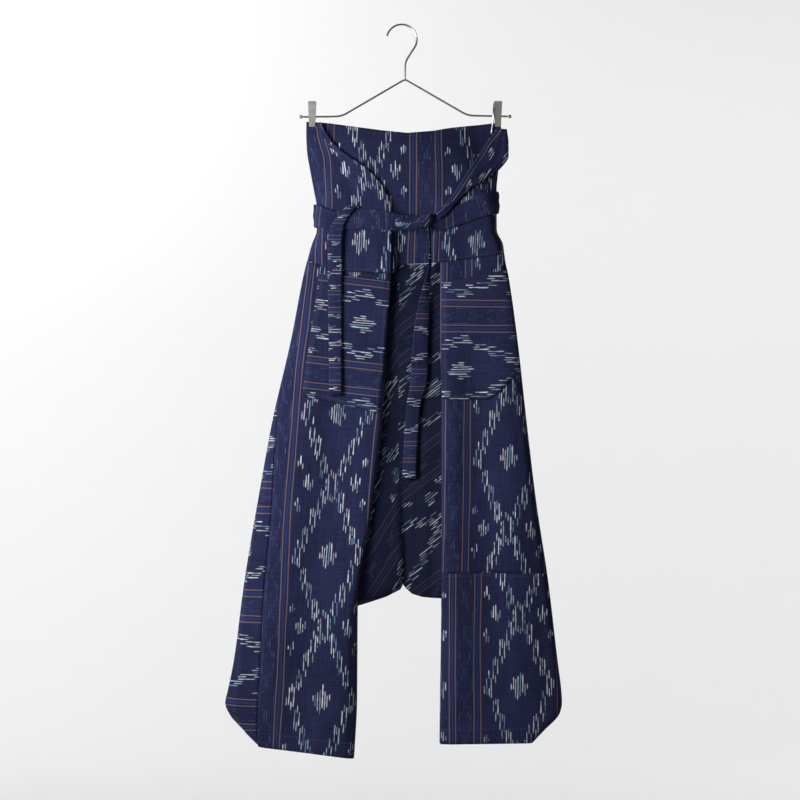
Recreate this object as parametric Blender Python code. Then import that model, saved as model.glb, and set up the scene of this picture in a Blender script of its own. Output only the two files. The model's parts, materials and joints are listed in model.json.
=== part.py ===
"""Thai fisherman pants hung by two clips from a wire hanger.

Every table and size here is in millimetres and is turned into metres when a mesh is made.
x runs to the right, y to the back, and "drop" is how far a point lies below the place where
the hanger's hook rests on what carries it, so z is minus the drop.
Each cloth piece is a wall through sections: a section is a path seen from above, worked out
at one height from the tables below, from a side seam round to an inner edge or the other side.
"""

import math

import bpy
import numpy as np

MM = 0.001
FRONT = -1
BACK = 1

CLOTH = 1.6
HALF = CLOTH / 2
SEAM = 0.3
BAND_CLOTH = 2.2
BAND_GAP = 0.7
SIDE_SPREAD = 1.9
PLEAT_LAYER = 2.6
PLEAT_REACH = 1.3
SIDE_REACH = 17.0
ROLL_REACH = 6.0
LEG_ROLL_REACH = 13.0
TUCK_UNDER = 5.0
CURVED_SEAM = 0.6
CROTCH_ROUNDING = 66.0
RIGHT_JOIN_DROP = 861.0
POCKET_GAP = 0.8
POCKET_ROLL_COLUMNS = 3
POCKET_RUN_ON = 3.0
POCKET_CUT_FROM = 0.55
FOLD_FADE = 0.22
PLEAT_CLEARANCE = 3.0
UNDER_LAYER_RUN = 4.0
RECESS_STEP = 8.0
RECESS_EDGE = 1.0
LEG_ROLL_START = 880.0
LEG_ROLL_RUN = 60.0
SIDE_COLUMNS = (0, 7, 14, 22, 30)
INNER_COLUMNS = (0, 6, 12, 20)
INNER_TURN_POINTS = 5
STEP_HALF = 4.0
STEP_PLACES = (-5, -1, 4, 14)
STEP_END = 2.0
STEP_RETURN = 14.0
WRAP_EDGE_OUT = 6.0
WRAP_RUN_OUT = 34.0
WRAP_RUN_OUT_DEPTH = 0.6
BAND_MIDDLE_DROP = 302.0
BAND_REACHES = (SIDE_REACH + 2, 12, 12, SIDE_REACH + 2, 4, SIDE_REACH + 2, SIDE_REACH + 2)
TIE_SIDE_CLEARANCE = 4.0
TIE_NEARBY = (-9, 0, 9)
LEFT_TIE_REST = (-85, 305)
SETTLE_ROUNDS = 8

NAVY = (0.020, 0.028, 0.095)
DARK_NAVY = (0.012, 0.016, 0.055)
NICKEL = (0.55, 0.53, 0.49)
STEEL = (0.60, 0.60, 0.60)
BRASS = (0.62, 0.47, 0.25)
DARK_STEEL = (0.10, 0.09, 0.08)
CLOTH_FINISH = (NAVY, 0.85)
GUSSET_FINISH = (DARK_NAVY, 0.85)
WIRE_FINISH = (STEEL, 0.25, 1.0)
BEAD_FINISH = (BRASS, 0.35, 1.0)
JAW_FINISH = (NICKEL, 0.35, 1.0)
SPRING_FINISH = (DARK_STEEL, 0.5, 1.0)


def table(names, *rows):
    """Columns by name, each an array read down the rows."""
    return {name: np.array(column, float) for name, column in zip(names.split(), zip(*rows))}


OUTLINE = table(
    "drop left right depth side_run recess",
    (152, -153, 154, 1.0, 60, 0.0),
    (160, -153, 155, 2.0, 60, 0.0),
    (171, -153, 156, 7.5, 60, 0.0),
    (196, -152, 154, 11.5, 52, 0.0),
    (228, -147, 151, 14.0, 42, 0.0),
    (259, -141, 148, 16.0, 22, 0.0),
    (290, -136, 148, 17.0, 9, 2.0),
    (322, -136, 148, 18.0, 6, 6.0),
    (345, -144, 158, 20.0, 6, 9.0),
    (371, -151, 161, 22.0, 2, 10.0),
    (401, -158, 167, 24.0, 0, 11.0),
    (495, -176, 180, 25.0, 0, 12.5),
    (621, -205, 194, 26.0, 0, 13.0),
    (747, -228, 209, 27.0, 0, 13.5),
    (873, -249, 228, 27.0, 0, 14.0),
    (999, -266, 243, 26.0, 0, 14.0),
    (1047, -276, 249, 25.0, 0, 14.0),
    (1064, -280, 250, 25.0, 0, 14.0),
    (1080, -274, 247, 24.5, 0, 14.0),
    (1110, -249, 220, 24.0, 0, 14.0),
    (1133, -228, 200, 23.0, 0, 14.0),
    (1160, -214, 188, 23.0, 0, 14.0),
)
INNER_EDGES = table(
    "drop left right",
    (340, -18, 58),
    (393, -18, 58),
    (495, -25, 58),
    (590, -30, 60),
    (763, -49, 60),
    (914, -71, 60),
    (1062, -72, 58),
    (1160, -77, 57),
)
WRAP_FOLD = table(
    "drop edge back_turn",
    (150, -130, 2),
    (176, -117, 8),
    (204, -91, 13),
    (228, -56, 17),
    (259, -29, 18),
    (283, -20, 16),
    (322, -18, 12),
    (400, -18, 8),
)
STRIP_SEAM = table(
    "drop x",
    (559.3, -187),
    (621, -197),
    (779, -207),
    (884, -217),
    (1036, -225),
    (1160, -231),
)
TOP_EDGE = table("x drop", (-153, 152), (-120, 154), (-60, 163), (14, 171), (80, 162), (161, 152))
YOKE_SEAM = table(
    "x drop",
    (-153, 371),
    (-122, 381),
    (-91, 388),
    (-20, 391),
    (-8, 378),
    (48, 375),
    (161, 361),
)
BACK_YOKE_SEAM = table("x drop", (-153, 371), (-60, 376), (60, 373), (161, 361))
LEFT_HEM = table("x drop", (-280, 1128), (-228, 1133), (-77, 1152))
RIGHT_HEM = table("x drop", (57, 1129), (200, 1127), (250, 1126))
CROTCH = table(
    "x drop",
    (-80, 915),
    (-72, 914),
    (-38, 903),
    (-6, 891),
    (0, 880),
    (6, 888),
    (23, 899),
    (59, 902),
    (70, 902),
)
GUSSET_STEP = table("drop x step", (370, -6, 0), (650, -8, 0), (760, -6, 3), (860, -1, 6), (920, 1, 6))

FOLDS = table(
    "side top_drop top_x low_drop low_x rise width",
    (FRONT, 160, -150, 290, -104, 3.5, 11),
    (FRONT, 175, -122, 300, -62, -1.6, 13),
    (FRONT, 215, 128, 320, 78, -2.2, 16),
    (FRONT, 315, -104, 400, -112, 1.6, 9),
    (FRONT, 312, -62, 400, -58, -1.5, 10),
    (FRONT, 312, 96, 400, 100, -1.8, 12),
    (FRONT, 430, -132, 1130, -222, 3.6, 28),
    (FRONT, 480, -92, 1150, -160, -3.5, 30),
    (FRONT, 560, -52, 1160, -103, 2.8, 22),
    (FRONT, 430, 148, 1130, 208, 3.4, 28),
    (FRONT, 450, 106, 1130, 148, -3.5, 30),
    (FRONT, 470, 76, 1130, 84, 2.4, 20),
    (FRONT, 590, -30, 905, -40, 2.4, 18),
    (FRONT, 590, 34, 905, 32, 2.2, 16),
    (BACK, 170, -70, 360, -84, -3.0, 22),
    (BACK, 175, 20, 360, 18, 3.0, 26),
    (BACK, 170, 92, 360, 104, -3.0, 22),
    (BACK, 430, -128, 1130, -205, 4.0, 22),
    (BACK, 470, -92, 1150, -150, -3.5, 25),
    (BACK, 450, 112, 1130, 148, -3.5, 25),
    (BACK, 430, 152, 1130, 205, 4.0, 20),
    (BACK, 520, 18, 900, -2, 3.0, 16),
)
FOLD_FULL_DEPTH = 8.0
WAIST_SLACK = table("x out", (-112, 0), (-62, 9), (15, 12), (75, 9), (118, 0))
SLACK_SHARE = table("drop share", (150, 1), (178, 1), (266, 0))

POCKETS = table(
    "top_left_x top_left top_right_x top_right low_right_x low_right low_left_x low_left",
    (-131, 392, -19.5, 403, -36, 611, -158, 583),
    (60, 407, 163, 386, 185, 549, 61, 589),
)
POCKET_NAMES = ("left_pocket", "right_pocket")
POCKET_COLUMNS = (0, 0.08, 0.19, 0.32, 0.45, 0.58, 0.7, 0.8, 0.87, 0.92, 0.96, 0.985, 1)

BAND_EDGES = table(
    "x upper lower",
    (-140, 282, 318),
    (-106, 294, 322),
    (-60, 290, 323),
    (20, 302, 325),
    (60, 296, 324),
    (110, 276, 308),
    (151, 262, 296),
)
RIGHT_TIE = table(
    "upper_x upper lower_x lower lift",
    (149, 163, 163, 164, 2.4),
    (142, 172, 166, 186, 2.4),
    (134, 181, 166, 206, 2.6),
    (122, 200, 153, 226, 2.8),
    (108, 221, 126, 245, 3.0),
    (92, 247, 102, 262, 3.0),
    (76, 272, 84, 279, 3.0),
    (62, 286, 69, 298, 3.2),
    (50, 295, 56, 309, 3.4),
)
LEFT_TIE = table(
    "drop x half_width forward",
    (289.4, -77, 8, 0.0),
    (287.4, -78, 8, 0.5),
    (286.6, -79.5, 8, 1.9),
    (288, -81.5, 8, 3.2),
    (295, -87, 8.5, 3.6),
    (306, -96, 9, 3.8),
    (322, -104, 10.5, 4.2),
    (345, -106.5, 11, 5.5),
    (400, -106.5, 11, 8.0),
    (470, -106, 10.5, 8.5),
    (530, -105.5, 10, 9.0),
    (582, -105.5, 10, 9.0),
)
CENTRE_TIE = table(
    "drop x half_width depth turn",
    (317.3, 40, 3.6, 27.5, 60),
    (345, 42.5, 3.4, 25.5, 65),
    (375, 42.5, 3.6, 23.5, 55),
    (405, 38, 5.5, 22.5, 40),
    (440, 33, 9.5, 22.0, 20),
    (500, 27.5, 12.5, 21.5, 8),
    (560, 25, 13.5, 21.5, 10),
    (600, 16, 10.8, 21.0, 6),
    (660, 12, 10.6, 20.5, 0),
    (713, 9.5, 10.6, 20.5, 0),
)
KNOT = table(
    "x drop half_height half_depth",
    (-12, 313, 4, 2.2),
    (-5, 313, 8, 3.6),
    (5, 314, 9.6, 4.6),
    (15, 314, 9.2, 5.0),
    (25, 313, 10.2, 5.2),
    (35, 310, 9.2, 5.2),
    (42, 307, 8, 4.2),
    (46, 305, 5.5, 2.6),
)
KNOT_SIDES = 12
KNOT_TWIST = 0.11
KNOT_GROOVE = 0.10

WIRE_RADIUS = 1.5
HOOK_RADIUS = 23.8
HOOK_CENTRE_X = -2.0
HOOK_TIP_ANGLE = 166
HOOK_END_ANGLE = -33
HOOK_NECK = (3.4, 57.5)
APEX = (3.2, 85.0)
SHANK_LIFT = 0.8
ARMS = table("x drop", (-157.3, 144.2), (-97, 143.4), (3.2, 85), (102, 142), (164.7, 143.4))
BEND_REACH = 9.0
BEAD_RADIUS = 3.0
CLIPS = table("x wire_drop", (-143, 144.0), (149.5, 143.1))
CLIP_NAMES = ("left", "right")
CLIP_JAW = table(
    "drop forward half_width",
    (120.5, 9.5, 6.3),
    (126, 7.2, 6.2),
    (134, 5.2, 5.9),
    (144, 4.3, 5.4),
    (152, 3.8, 5.0),
    (160, 3.3, 4.8),
)
JAW_PLATE = 0.9
SPRING_RADIUS = 2.65
SPRING_WALL = 1.4
SPRING_HALF_LENGTH = 4.0
SPRING_SIDES = 14
HOOK_POINTS = 20
NECK_REACH = 8.0
APEX_REACH = 4.0
BAND_FRONT_COLUMNS = 30
RIGHT_TIE_COLUMNS = 5

WAIST_DROPS = (152, 162, 178, 196, 214, 232, 250, 268, 285, 303, 322, 338, 354, 371)
WAIST_BACK_DROPS = (152, 165, 190, 220, 250, 285, 303, 322, 345, 371)
LEFT_DROPS = (371, 430, 495, 558, 560, 620, 680, 735, 785, 827, 854)
LEFT_DROPS += (871, 884, 892, 899, 950, 1005, 1062, 1082, 1104, 1121, 1133)
LEFT_BACK_DROPS = (371, 440, 520, 600, 690, 770, 832, 859, 875.5, 888, 896, 902, 980, 1062, 1086, 1110, 1133)
RIGHT_UPPER_DROPS = (361, 430, 500, 575, 650, 725, 790, 832.5, 861)
RIGHT_LOWER_DROPS = (861, 877.6, 890.9, 898.8, 905, 960, 1020, 1062, 1082, 1104, 1127)
STRIP_TOP_DROP = 560.7
STRIP_START = 3.0
STRIP_WIDENING = 60.0
GUSSET_SHARES = (0, 0.13, 0.27, 0.41, 0.55, 0.68, 0.79, 0.87, 0.9216, 0.954, 0.979, 0.994, 1)


def smooth(knots, values, x):
    """A smooth curve through the table's points that never swings past them, read at x."""
    step = np.diff(knots)
    slope = np.diff(values) / step
    tangent = np.zeros_like(values)
    product = slope[:-1] * slope[1:]
    total = np.where(product > 0, slope[:-1] + slope[1:], 1)
    tangent[1:-1] = np.where(product > 0, 2 * product / total, 0)
    tangent[0] = slope[0]
    tangent[-1] = slope[-1]
    x = min(max(x, knots[0]), knots[-1])
    i = min(max(int(np.searchsorted(knots, x)) - 1, 0), len(step) - 1)
    t = (x - knots[i]) / step[i]
    rise = values[i + 1] - values[i]
    start = tangent[i] * step[i]
    end = tangent[i + 1] * step[i]
    return values[i] + start * t + (3 * rise - 2 * start - end) * t**2 + (start + end - 2 * rise) * t**3


def read(source, column, where, by="drop"):
    return smooth(source[by], source[column], where)


def ease(t):
    t = min(max(t, 0.0), 1.0)
    return t * t * (3 - 2 * t)


def top_edge(x):
    return read(TOP_EDGE, "drop", x, by="x")


def yoke(x):
    return read(YOKE_SEAM, "drop", x, by="x")


def below_yoke(x):
    return yoke(x) + CURVED_SEAM


def back_yoke(x):
    return read(BACK_YOKE_SEAM, "drop", x, by="x")


def below_back_yoke(x):
    return back_yoke(x) + CURVED_SEAM


def crotch(x):
    return read(CROTCH, "drop", x, by="x")


def left_hem(x):
    return read(LEFT_HEM, "drop", x, by="x")


def right_hem(x):
    return read(RIGHT_HEM, "drop", x, by="x")


def above_join(x):
    return RIGHT_JOIN_DROP - SEAM / 2


def below_join(x):
    return RIGHT_JOIN_DROP + SEAM / 2


def fold_rise(side, x, drop):
    """How far the soft folds of the front or back stand out at a place."""
    total = 0.0
    for i in np.flatnonzero(FOLDS["side"] == side):
        top = FOLDS["top_drop"][i]
        low = FOLDS["low_drop"][i]
        along = (drop - top) / (low - top)
        centre = FOLDS["top_x"][i] + along * (FOLDS["low_x"][i] - FOLDS["top_x"][i])
        fade = ease(along / FOLD_FADE) * ease((1 - along) / FOLD_FADE)
        total += FOLDS["rise"][i] * fade * math.exp(-(((x - centre) / FOLDS["width"][i]) ** 2))
    return total


def waist_slack(x, drop):
    """How far the waist's mouth hangs open at a place: not at the clips, most between them."""
    return read(WAIST_SLACK, "out", x, by="x") * read(SLACK_SHARE, "share", drop)


def folded(grid):
    """The grid with the open mouth and the soft folds added, the folds none on the side seams."""
    moved = grid.copy()
    for point in moved.reshape(-1, 3):
        side = FRONT if point[1] < 0 else BACK
        out = fold_rise(side, point[0], point[2]) * ease(abs(point[1]) / FOLD_FULL_DEPTH)
        point[1] += side * (out + waist_slack(point[0], point[2]))
    return moved


def rounded_path(corners, reaches, runs, turns):
    """A path through corners: straight runs, with each inner corner rounded over its reach."""
    corners = [np.array(corner, float) for corner in corners]
    lengths = [max(np.linalg.norm(b - a), 1e-6) for a, b in zip(corners, corners[1:])]
    ways = [(b - a) / length for a, b, length in zip(corners, corners[1:], lengths)]
    room = [min(a, b) * 0.49 for a, b in zip(lengths, lengths[1:])]
    reach = [0.0] + [min(asked, most) for asked, most in zip(reaches, room)] + [0.0]
    path = []
    for i, way in enumerate(ways):
        start = corners[i] + way * reach[i]
        end = corners[i + 1] - way * reach[i + 1]
        path += [start + (end - start) * k / runs[i] for k in range(runs[i])]
        if i + 1 == len(ways):
            path.append(end)
            continue
        after = corners[i + 1] + ways[i + 1] * reach[i + 1]
        for k in range(turns[i]):
            t = k / turns[i]
            path.append((1 - t) ** 2 * end + 2 * t * (1 - t) * corners[i + 1] + t * t * after)
    return np.array(path)


def off_seam_plane(path, side):
    """The path kept on its own side of the plane where front and back meet."""
    way = np.gradient(path, axis=0)
    tilt = np.abs(way[:, 0]) / np.maximum(np.linalg.norm(way, axis=1), 1e-6)
    kept = path.copy()
    kept[:, 1] = side * np.maximum(side * path[:, 1], SEAM / 2 + HALF * tilt)
    return kept


def settled(source, column, share, upper, lower):
    """The drop and x of an edge on the row that lies this share of the way down."""
    x = source[column][0]
    drop = 0.0
    for _ in range(SETTLE_ROUNDS):
        drop = upper(x) + share * (lower(x) - upper(x))
        x = read(source, column, drop)
    return drop, x


def gusset_depth(x, drop):
    """How far the gusset's middle lies from the seam plane: it closes round the crotch."""
    near = min(max(1 - (crotch(x) - drop) / CROTCH_ROUNDING, 0), 1)
    return read(OUTLINE, "recess", drop) * math.sqrt(1 - near**2) + HALF + SEAM / 2


def inner_rim(x, drop):
    """Where a leg's inner edge ends: on the gusset above the crotch, on the seam plane below it."""
    if drop > crotch(x):
        return 0.0
    return gusset_depth(x, drop) + HALF + CURVED_SEAM


def grid_of(section, shares, upper, lower):
    """One section a row, with each point dropped to the row's own line."""
    grid = []
    for share in shares:
        path = section(share, upper, lower)
        grid.append([(x, y, upper(x) + share * (lower(x) - upper(x))) for x, y in path])
    return np.array(grid)


def shares_at(drops):
    """Each drop as a share of the way from the first to the last."""
    return [(drop - drops[0]) / (drops[-1] - drops[0]) for drop in drops]


def waist_front_section(share, upper, lower):
    """From the left side across the wrap, round its folded edge and back, then to the right."""
    drop, left = settled(OUTLINE, "left", share, upper, lower)
    fold_drop, edge = settled(WRAP_FOLD, "edge", share, upper, lower)
    right_drop, right = settled(OUTLINE, "right", share, upper, lower)
    inner = read(INNER_EDGES, "right", right_drop)
    back_turn = read(WRAP_FOLD, "back_turn", fold_drop)
    depth = read(OUTLINE, "depth", fold_drop)
    under = max(depth, HALF + SEAM / 2)
    wrap = under + 2 * PLEAT_LAYER
    centre = max(under - read(OUTLINE, "recess", fold_drop), HALF + SEAM / 2)
    side_depth = read(OUTLINE, "depth", drop)
    left_run = read(OUTLINE, "side_run", drop)
    right_depth = read(OUTLINE, "depth", right_drop)
    right_run = read(OUTLINE, "side_run", right_drop)
    turn_x = edge - HALF
    corners = [
        (left + HALF, 0),
        (min(left + HALF + left_run, turn_x - back_turn - PLEAT_CLEARANCE), -side_depth),
        (turn_x, -wrap),
        (turn_x, -wrap + PLEAT_LAYER),
        (turn_x - back_turn, -wrap + PLEAT_LAYER),
        (turn_x - back_turn, -under),
        (turn_x + UNDER_LAYER_RUN, -under),
        (turn_x + UNDER_LAYER_RUN + RECESS_STEP, -centre),
        (inner - RECESS_STEP, -centre),
        (inner + RECESS_EDGE, -right_depth),
        (right - HALF - right_run, -right_depth),
        (right - HALF, 0),
    ]
    reaches = [SIDE_REACH, PLEAT_REACH, PLEAT_REACH, PLEAT_REACH, PLEAT_REACH, 3, 3, 3, 3, SIDE_REACH]
    runs = [1, 6, 1, 2, 1, 2, 1, 4, 1, 5, 1]
    turns = [3, 2, 2, 2, 2, 1, 1, 1, 1, 3]
    return off_seam_plane(rounded_path(corners, reaches, runs, turns), FRONT)


def waist_back_section(share, upper, lower):
    """From side to side, with the centre set in as far as the gusset below it."""
    drop, left = settled(OUTLINE, "left", share, upper, lower)
    right_drop, right = settled(OUTLINE, "right", share, upper, lower)
    depth = read(OUTLINE, "depth", drop)
    recess = read(OUTLINE, "recess", drop)
    run = read(OUTLINE, "side_run", drop)
    inner_left = read(INNER_EDGES, "left", drop)
    inner_right = read(INNER_EDGES, "right", drop)
    corners = [
        (left + HALF, 0),
        (left + HALF + run, depth),
        (inner_left - RECESS_EDGE, depth),
        (inner_left + RECESS_STEP, depth - recess),
        (inner_right - RECESS_STEP, depth - recess),
        (inner_right + RECESS_EDGE, depth),
        (right - HALF - run, depth),
        (right - HALF, 0),
    ]
    reaches = [SIDE_REACH, 3, 3, 3, 3, SIDE_REACH]
    runs = [1, 4, 1, 3, 1, 4, 1]
    turns = [3, 1, 1, 1, 1, 3]
    return off_seam_plane(rounded_path(corners, reaches, runs, turns), BACK)


def leg_path(side, column, share, upper, lower):
    """One leg's whole front or back, from the side seam round to its inner edge."""
    drop, outer = settled(OUTLINE, column, share, upper, lower)
    inner_drop, inner = settled(INNER_EDGES, column, share, upper, lower)
    towards = 1 if inner > outer else -1
    depth = side * read(OUTLINE, "depth", drop)
    inner_depth = side * read(OUTLINE, "depth", inner_drop)
    outer_x = outer + towards * HALF
    inner_x = inner - towards * HALF
    roll = ROLL_REACH + (LEG_ROLL_REACH - ROLL_REACH) * ease((inner_drop - LEG_ROLL_START) / LEG_ROLL_RUN)
    rim = side * inner_rim(inner, inner_drop)
    corners = [(outer_x, 0), (outer_x, depth), (inner_x, inner_depth), (inner_x, rim)]
    return off_seam_plane(rounded_path(corners, [SIDE_REACH, roll], [1, 8, 1], [5, 5]), side)


def arc_lengths(path):
    return np.concatenate([[0], np.cumsum(np.linalg.norm(np.diff(path, axis=0), axis=1))])


def piece_of(path, first, last, near_first, middle, near_last):
    """Points along a stretch of the path: some near each end, by distance, and some between."""
    length = last - first
    near_last = [length - d for d in near_last][::-1]
    between = np.linspace(near_first[-1], near_last[0], middle + 2)[1:-1]
    arcs = first + np.concatenate([near_first, between, near_last])
    along = arc_lengths(path)
    return np.array([[np.interp(arc, along, path[:, k]) for k in range(2)] for arc in arcs])


def arc_at_x(path, x):
    """How far along the path its first crossing of x lies."""
    along = arc_lengths(path)
    rising = 1 if path[len(path) // 2, 0] > path[0, 0] else -1
    flat = len(path) - INNER_TURN_POINTS
    return float(np.interp(rising * x, rising * path[:flat, 0], along[:flat]))


def whole_leg_section(side, column, middle):
    """A leg panel from the side seam to the inner edge."""

    def section(share, upper, lower):
        path = leg_path(side, column, share, upper, lower)
        return piece_of(path, 0, arc_lengths(path)[-1], SIDE_COLUMNS, middle, INNER_COLUMNS)

    return section


def strip_width(path, share, upper, lower):
    """How far round from the side seam the side strip reaches: it starts as a point below the pocket."""
    seam_drop, seam = settled(STRIP_SEAM, "x", share, upper, lower)
    whole = arc_at_x(path, seam) - STRIP_START
    return STRIP_START + max(whole, 0) * ease((seam_drop - STRIP_SEAM["drop"][0]) / STRIP_WIDENING)


def left_front_section(share, upper, lower):
    """The left front panel: to the side seam above, and to the side strip's seam below."""
    path = leg_path(FRONT, "left", share, upper, lower)
    first = 0.0
    if settled(STRIP_SEAM, "x", share, upper, lower)[0] > STRIP_SEAM["drop"][0]:
        first = strip_width(path, share, upper, lower) + CURVED_SEAM / 2
    return piece_of(path, first, arc_lengths(path)[-1], SIDE_COLUMNS, 8, INNER_COLUMNS)


def strip_section(share, upper, lower):
    """The narrow strip down the outer side of the left leg."""
    path = leg_path(FRONT, "left", share, upper, lower)
    last = strip_width(path, share, upper, lower) - CURVED_SEAM / 2
    return piece_of(path, 0, last, (0, last * 0.25, last * 0.5), 1, (0,))


def gusset_section(side):
    """Between the legs, its edges tucked under theirs; the front steps back past its middle."""

    def section(share, upper, lower):
        drop, left = settled(INNER_EDGES, "left", share, upper, lower)
        right_drop, right = settled(INNER_EDGES, "right", share, upper, lower)
        step_x = read(GUSSET_STEP, "x", drop)
        step = read(GUSSET_STEP, "step", drop) if side == FRONT else 0
        before, near, past, beyond = (step_x + place for place in STEP_PLACES)
        places = [left - TUCK_UNDER, *np.linspace(left - HALF, before, 4), near, past]
        places += [*np.linspace(beyond, right + HALF, 4), right + TUCK_UNDER]
        path = []
        for x in places:
            here = upper(x) + share * (lower(x) - upper(x))
            past_step = ease((x - step_x + STEP_HALF) / (2 * STEP_HALF))
            inset = step * past_step * ease((right - STEP_END - x) / STEP_RETURN)
            path.append((x, side * max(gusset_depth(x, here) - inset, HALF + SEAM / 2)))
        return np.array(path)

    return section


def front_most(grids, x, drop):
    """The y of the foremost of these sheets' middles at a place, seen from the front."""
    found = []
    for grid in grids:
        a, b, c, d = grid[:-1, :-1], grid[:-1, 1:], grid[1:, 1:], grid[1:, :-1]
        for p, q, r in ((a, b, c), (a, c, d)):
            p, q, r = p.reshape(-1, 3), q.reshape(-1, 3), r.reshape(-1, 3)
            area = (q[:, 0] - p[:, 0]) * (r[:, 2] - p[:, 2]) - (r[:, 0] - p[:, 0]) * (q[:, 2] - p[:, 2])
            area = np.where(np.abs(area) < 1e-9, 1e-9, area)
            s = ((x - p[:, 0]) * (r[:, 2] - p[:, 2]) - (r[:, 0] - p[:, 0]) * (drop - p[:, 2])) / area
            t = ((q[:, 0] - p[:, 0]) * (drop - p[:, 2]) - (x - p[:, 0]) * (q[:, 2] - p[:, 2])) / area
            inside = (s >= 0) & (t >= 0) & (s + t <= 1)
            found += list((p[:, 1] + s * (q[:, 1] - p[:, 1]) + t * (r[:, 1] - p[:, 1]))[inside])
    return min(found) if found else None


def outside_line(leg, drop, lift):
    """A leg panel's own line at one height, moved out by lift, and run on flat past its inner roll."""
    columns = leg.swapaxes(0, 1)
    line = np.array([[np.interp(drop, column[:, 2], column[:, k]) for k in range(2)] for column in columns])
    edge_x = line[-1, 0]
    line = line[:-POCKET_ROLL_COLUMNS]
    way = np.gradient(line, axis=0)
    normal = np.column_stack([way[:, 1], -way[:, 0]]) / np.linalg.norm(way, axis=1)[:, None]
    normal *= -np.sign(normal[-1, 1])
    line = line + lift * normal
    return np.vstack([line, (edge_x + np.sign(edge_x - line[-1, 0]) * POCKET_RUN_ON, line[-1, 1])])


def pocket_grid(leg, index, rows=8):
    """A patch on a leg panel, between four corners, with the right one's low corner cut off."""
    corner = {name: POCKETS[name][index] for name in POCKETS}
    grid = []
    for v in np.linspace(0, 1, rows):
        row = []
        for u in POCKET_COLUMNS:
            top_x = corner["top_left_x"] + u * (corner["top_right_x"] - corner["top_left_x"])
            top = corner["top_left"] + u * (corner["top_right"] - corner["top_left"])
            low_x = corner["low_left_x"] + u * (corner["low_right_x"] - corner["low_left_x"])
            rise = ease((u - POCKET_CUT_FROM) / (1 - POCKET_CUT_FROM)) if index == 1 else u
            low = corner["low_left"] + rise * (corner["low_right"] - corner["low_left"])
            x = top_x + v * (low_x - top_x)
            drop = top + v * (low - top)
            line = outside_line(leg, drop, CLOTH + POCKET_GAP)
            order = np.argsort(line[:, 0])
            row.append((x, np.interp(x, line[order, 0], line[order, 1]), drop))
        grid.append(row)
    return np.array(grid)


def band_path(drop):
    """The waist's outside at one height, all round, moved out to the middle of the band."""
    out = HALF + BAND_GAP + BAND_CLOTH / 2
    left = read(OUTLINE, "left", drop) - out * SIDE_SPREAD + HALF
    right = read(OUTLINE, "right", drop) + out * SIDE_SPREAD - HALF
    run = read(OUTLINE, "side_run", drop)
    depth = read(OUTLINE, "depth", drop) + out
    wrap = depth + 2 * PLEAT_LAYER
    edge = read(WRAP_FOLD, "edge", drop)
    corners = [
        (left, 0),
        (left + run, -depth),
        (edge + WRAP_EDGE_OUT, -wrap),
        (edge + WRAP_RUN_OUT, -depth - WRAP_RUN_OUT_DEPTH),
        (right - run, -depth),
        (right, 0),
        (right - run, depth),
        (left + run, depth),
        (left, 0),
    ]
    return rounded_path(corners, BAND_REACHES, [1, 6, 2, 6, 1, 1, 8, 1], [4, 2, 2, 4, 2, 4, 4])[:-1]


def band_grid():
    middle = band_path(BAND_MIDDLE_DROP)
    grid = []
    for share in (0, 0.5, 1):
        row = []
        for i, (x, _) in enumerate(middle):
            upper = read(BAND_EDGES, "upper", x, by="x")
            drop = upper + share * (read(BAND_EDGES, "lower", x, by="x") - upper)
            row.append((*band_path(drop)[i], drop))
        grid.append(row)
    return np.array(grid)


def material(name, colour, roughness, metallic=0.0):
    made = bpy.data.materials.new(name)
    made.use_nodes = True
    shader = made.node_tree.nodes["Principled BSDF"]
    shader.inputs["Base Color"].default_value = (*colour, 1)
    shader.inputs["Roughness"].default_value = roughness
    shader.inputs["Metallic"].default_value = metallic
    return made


def add_mesh(name, points, faces, finish):
    """A smooth-shaded mesh object from points in millimetres and drops."""
    mesh = bpy.data.meshes.new(name)
    mesh.from_pydata([(x * MM, y * MM, -drop * MM) for x, y, drop in points], [], faces)
    mesh.update()
    mesh.shade_smooth()
    mesh.materials.append(material(name, *finish))
    made = bpy.data.objects.new(name, mesh)
    bpy.context.scene.collection.objects.link(made)
    return made


def sheet(name, grid, finish=CLOTH_FINISH, thickness=CLOTH, closed=False):
    """A wall whose middle runs through the grid's points, and round to its start if closed."""
    rows, columns = grid.shape[:2]
    faces = []
    for r in range(rows - 1):
        for c in range(columns if closed else columns - 1):
            after = (c + 1) % columns
            here, under = r * columns, (r + 1) * columns
            faces.append((here + c, under + c, under + after, here + after))
    piece = add_mesh(name, grid.reshape(-1, 3), faces, finish)
    wall = piece.modifiers.new("wall", "SOLIDIFY")
    wall.thickness = thickness * MM
    wall.offset = 0
    wall.use_even_offset = True
    return piece


def build_waist():
    front = folded(grid_of(waist_front_section, shares_at(WAIST_DROPS), top_edge, yoke))
    sheet("waist_front", front)
    sheet("waist_back", folded(grid_of(waist_back_section, shares_at(WAIST_BACK_DROPS), top_edge, back_yoke)))
    return front


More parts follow.
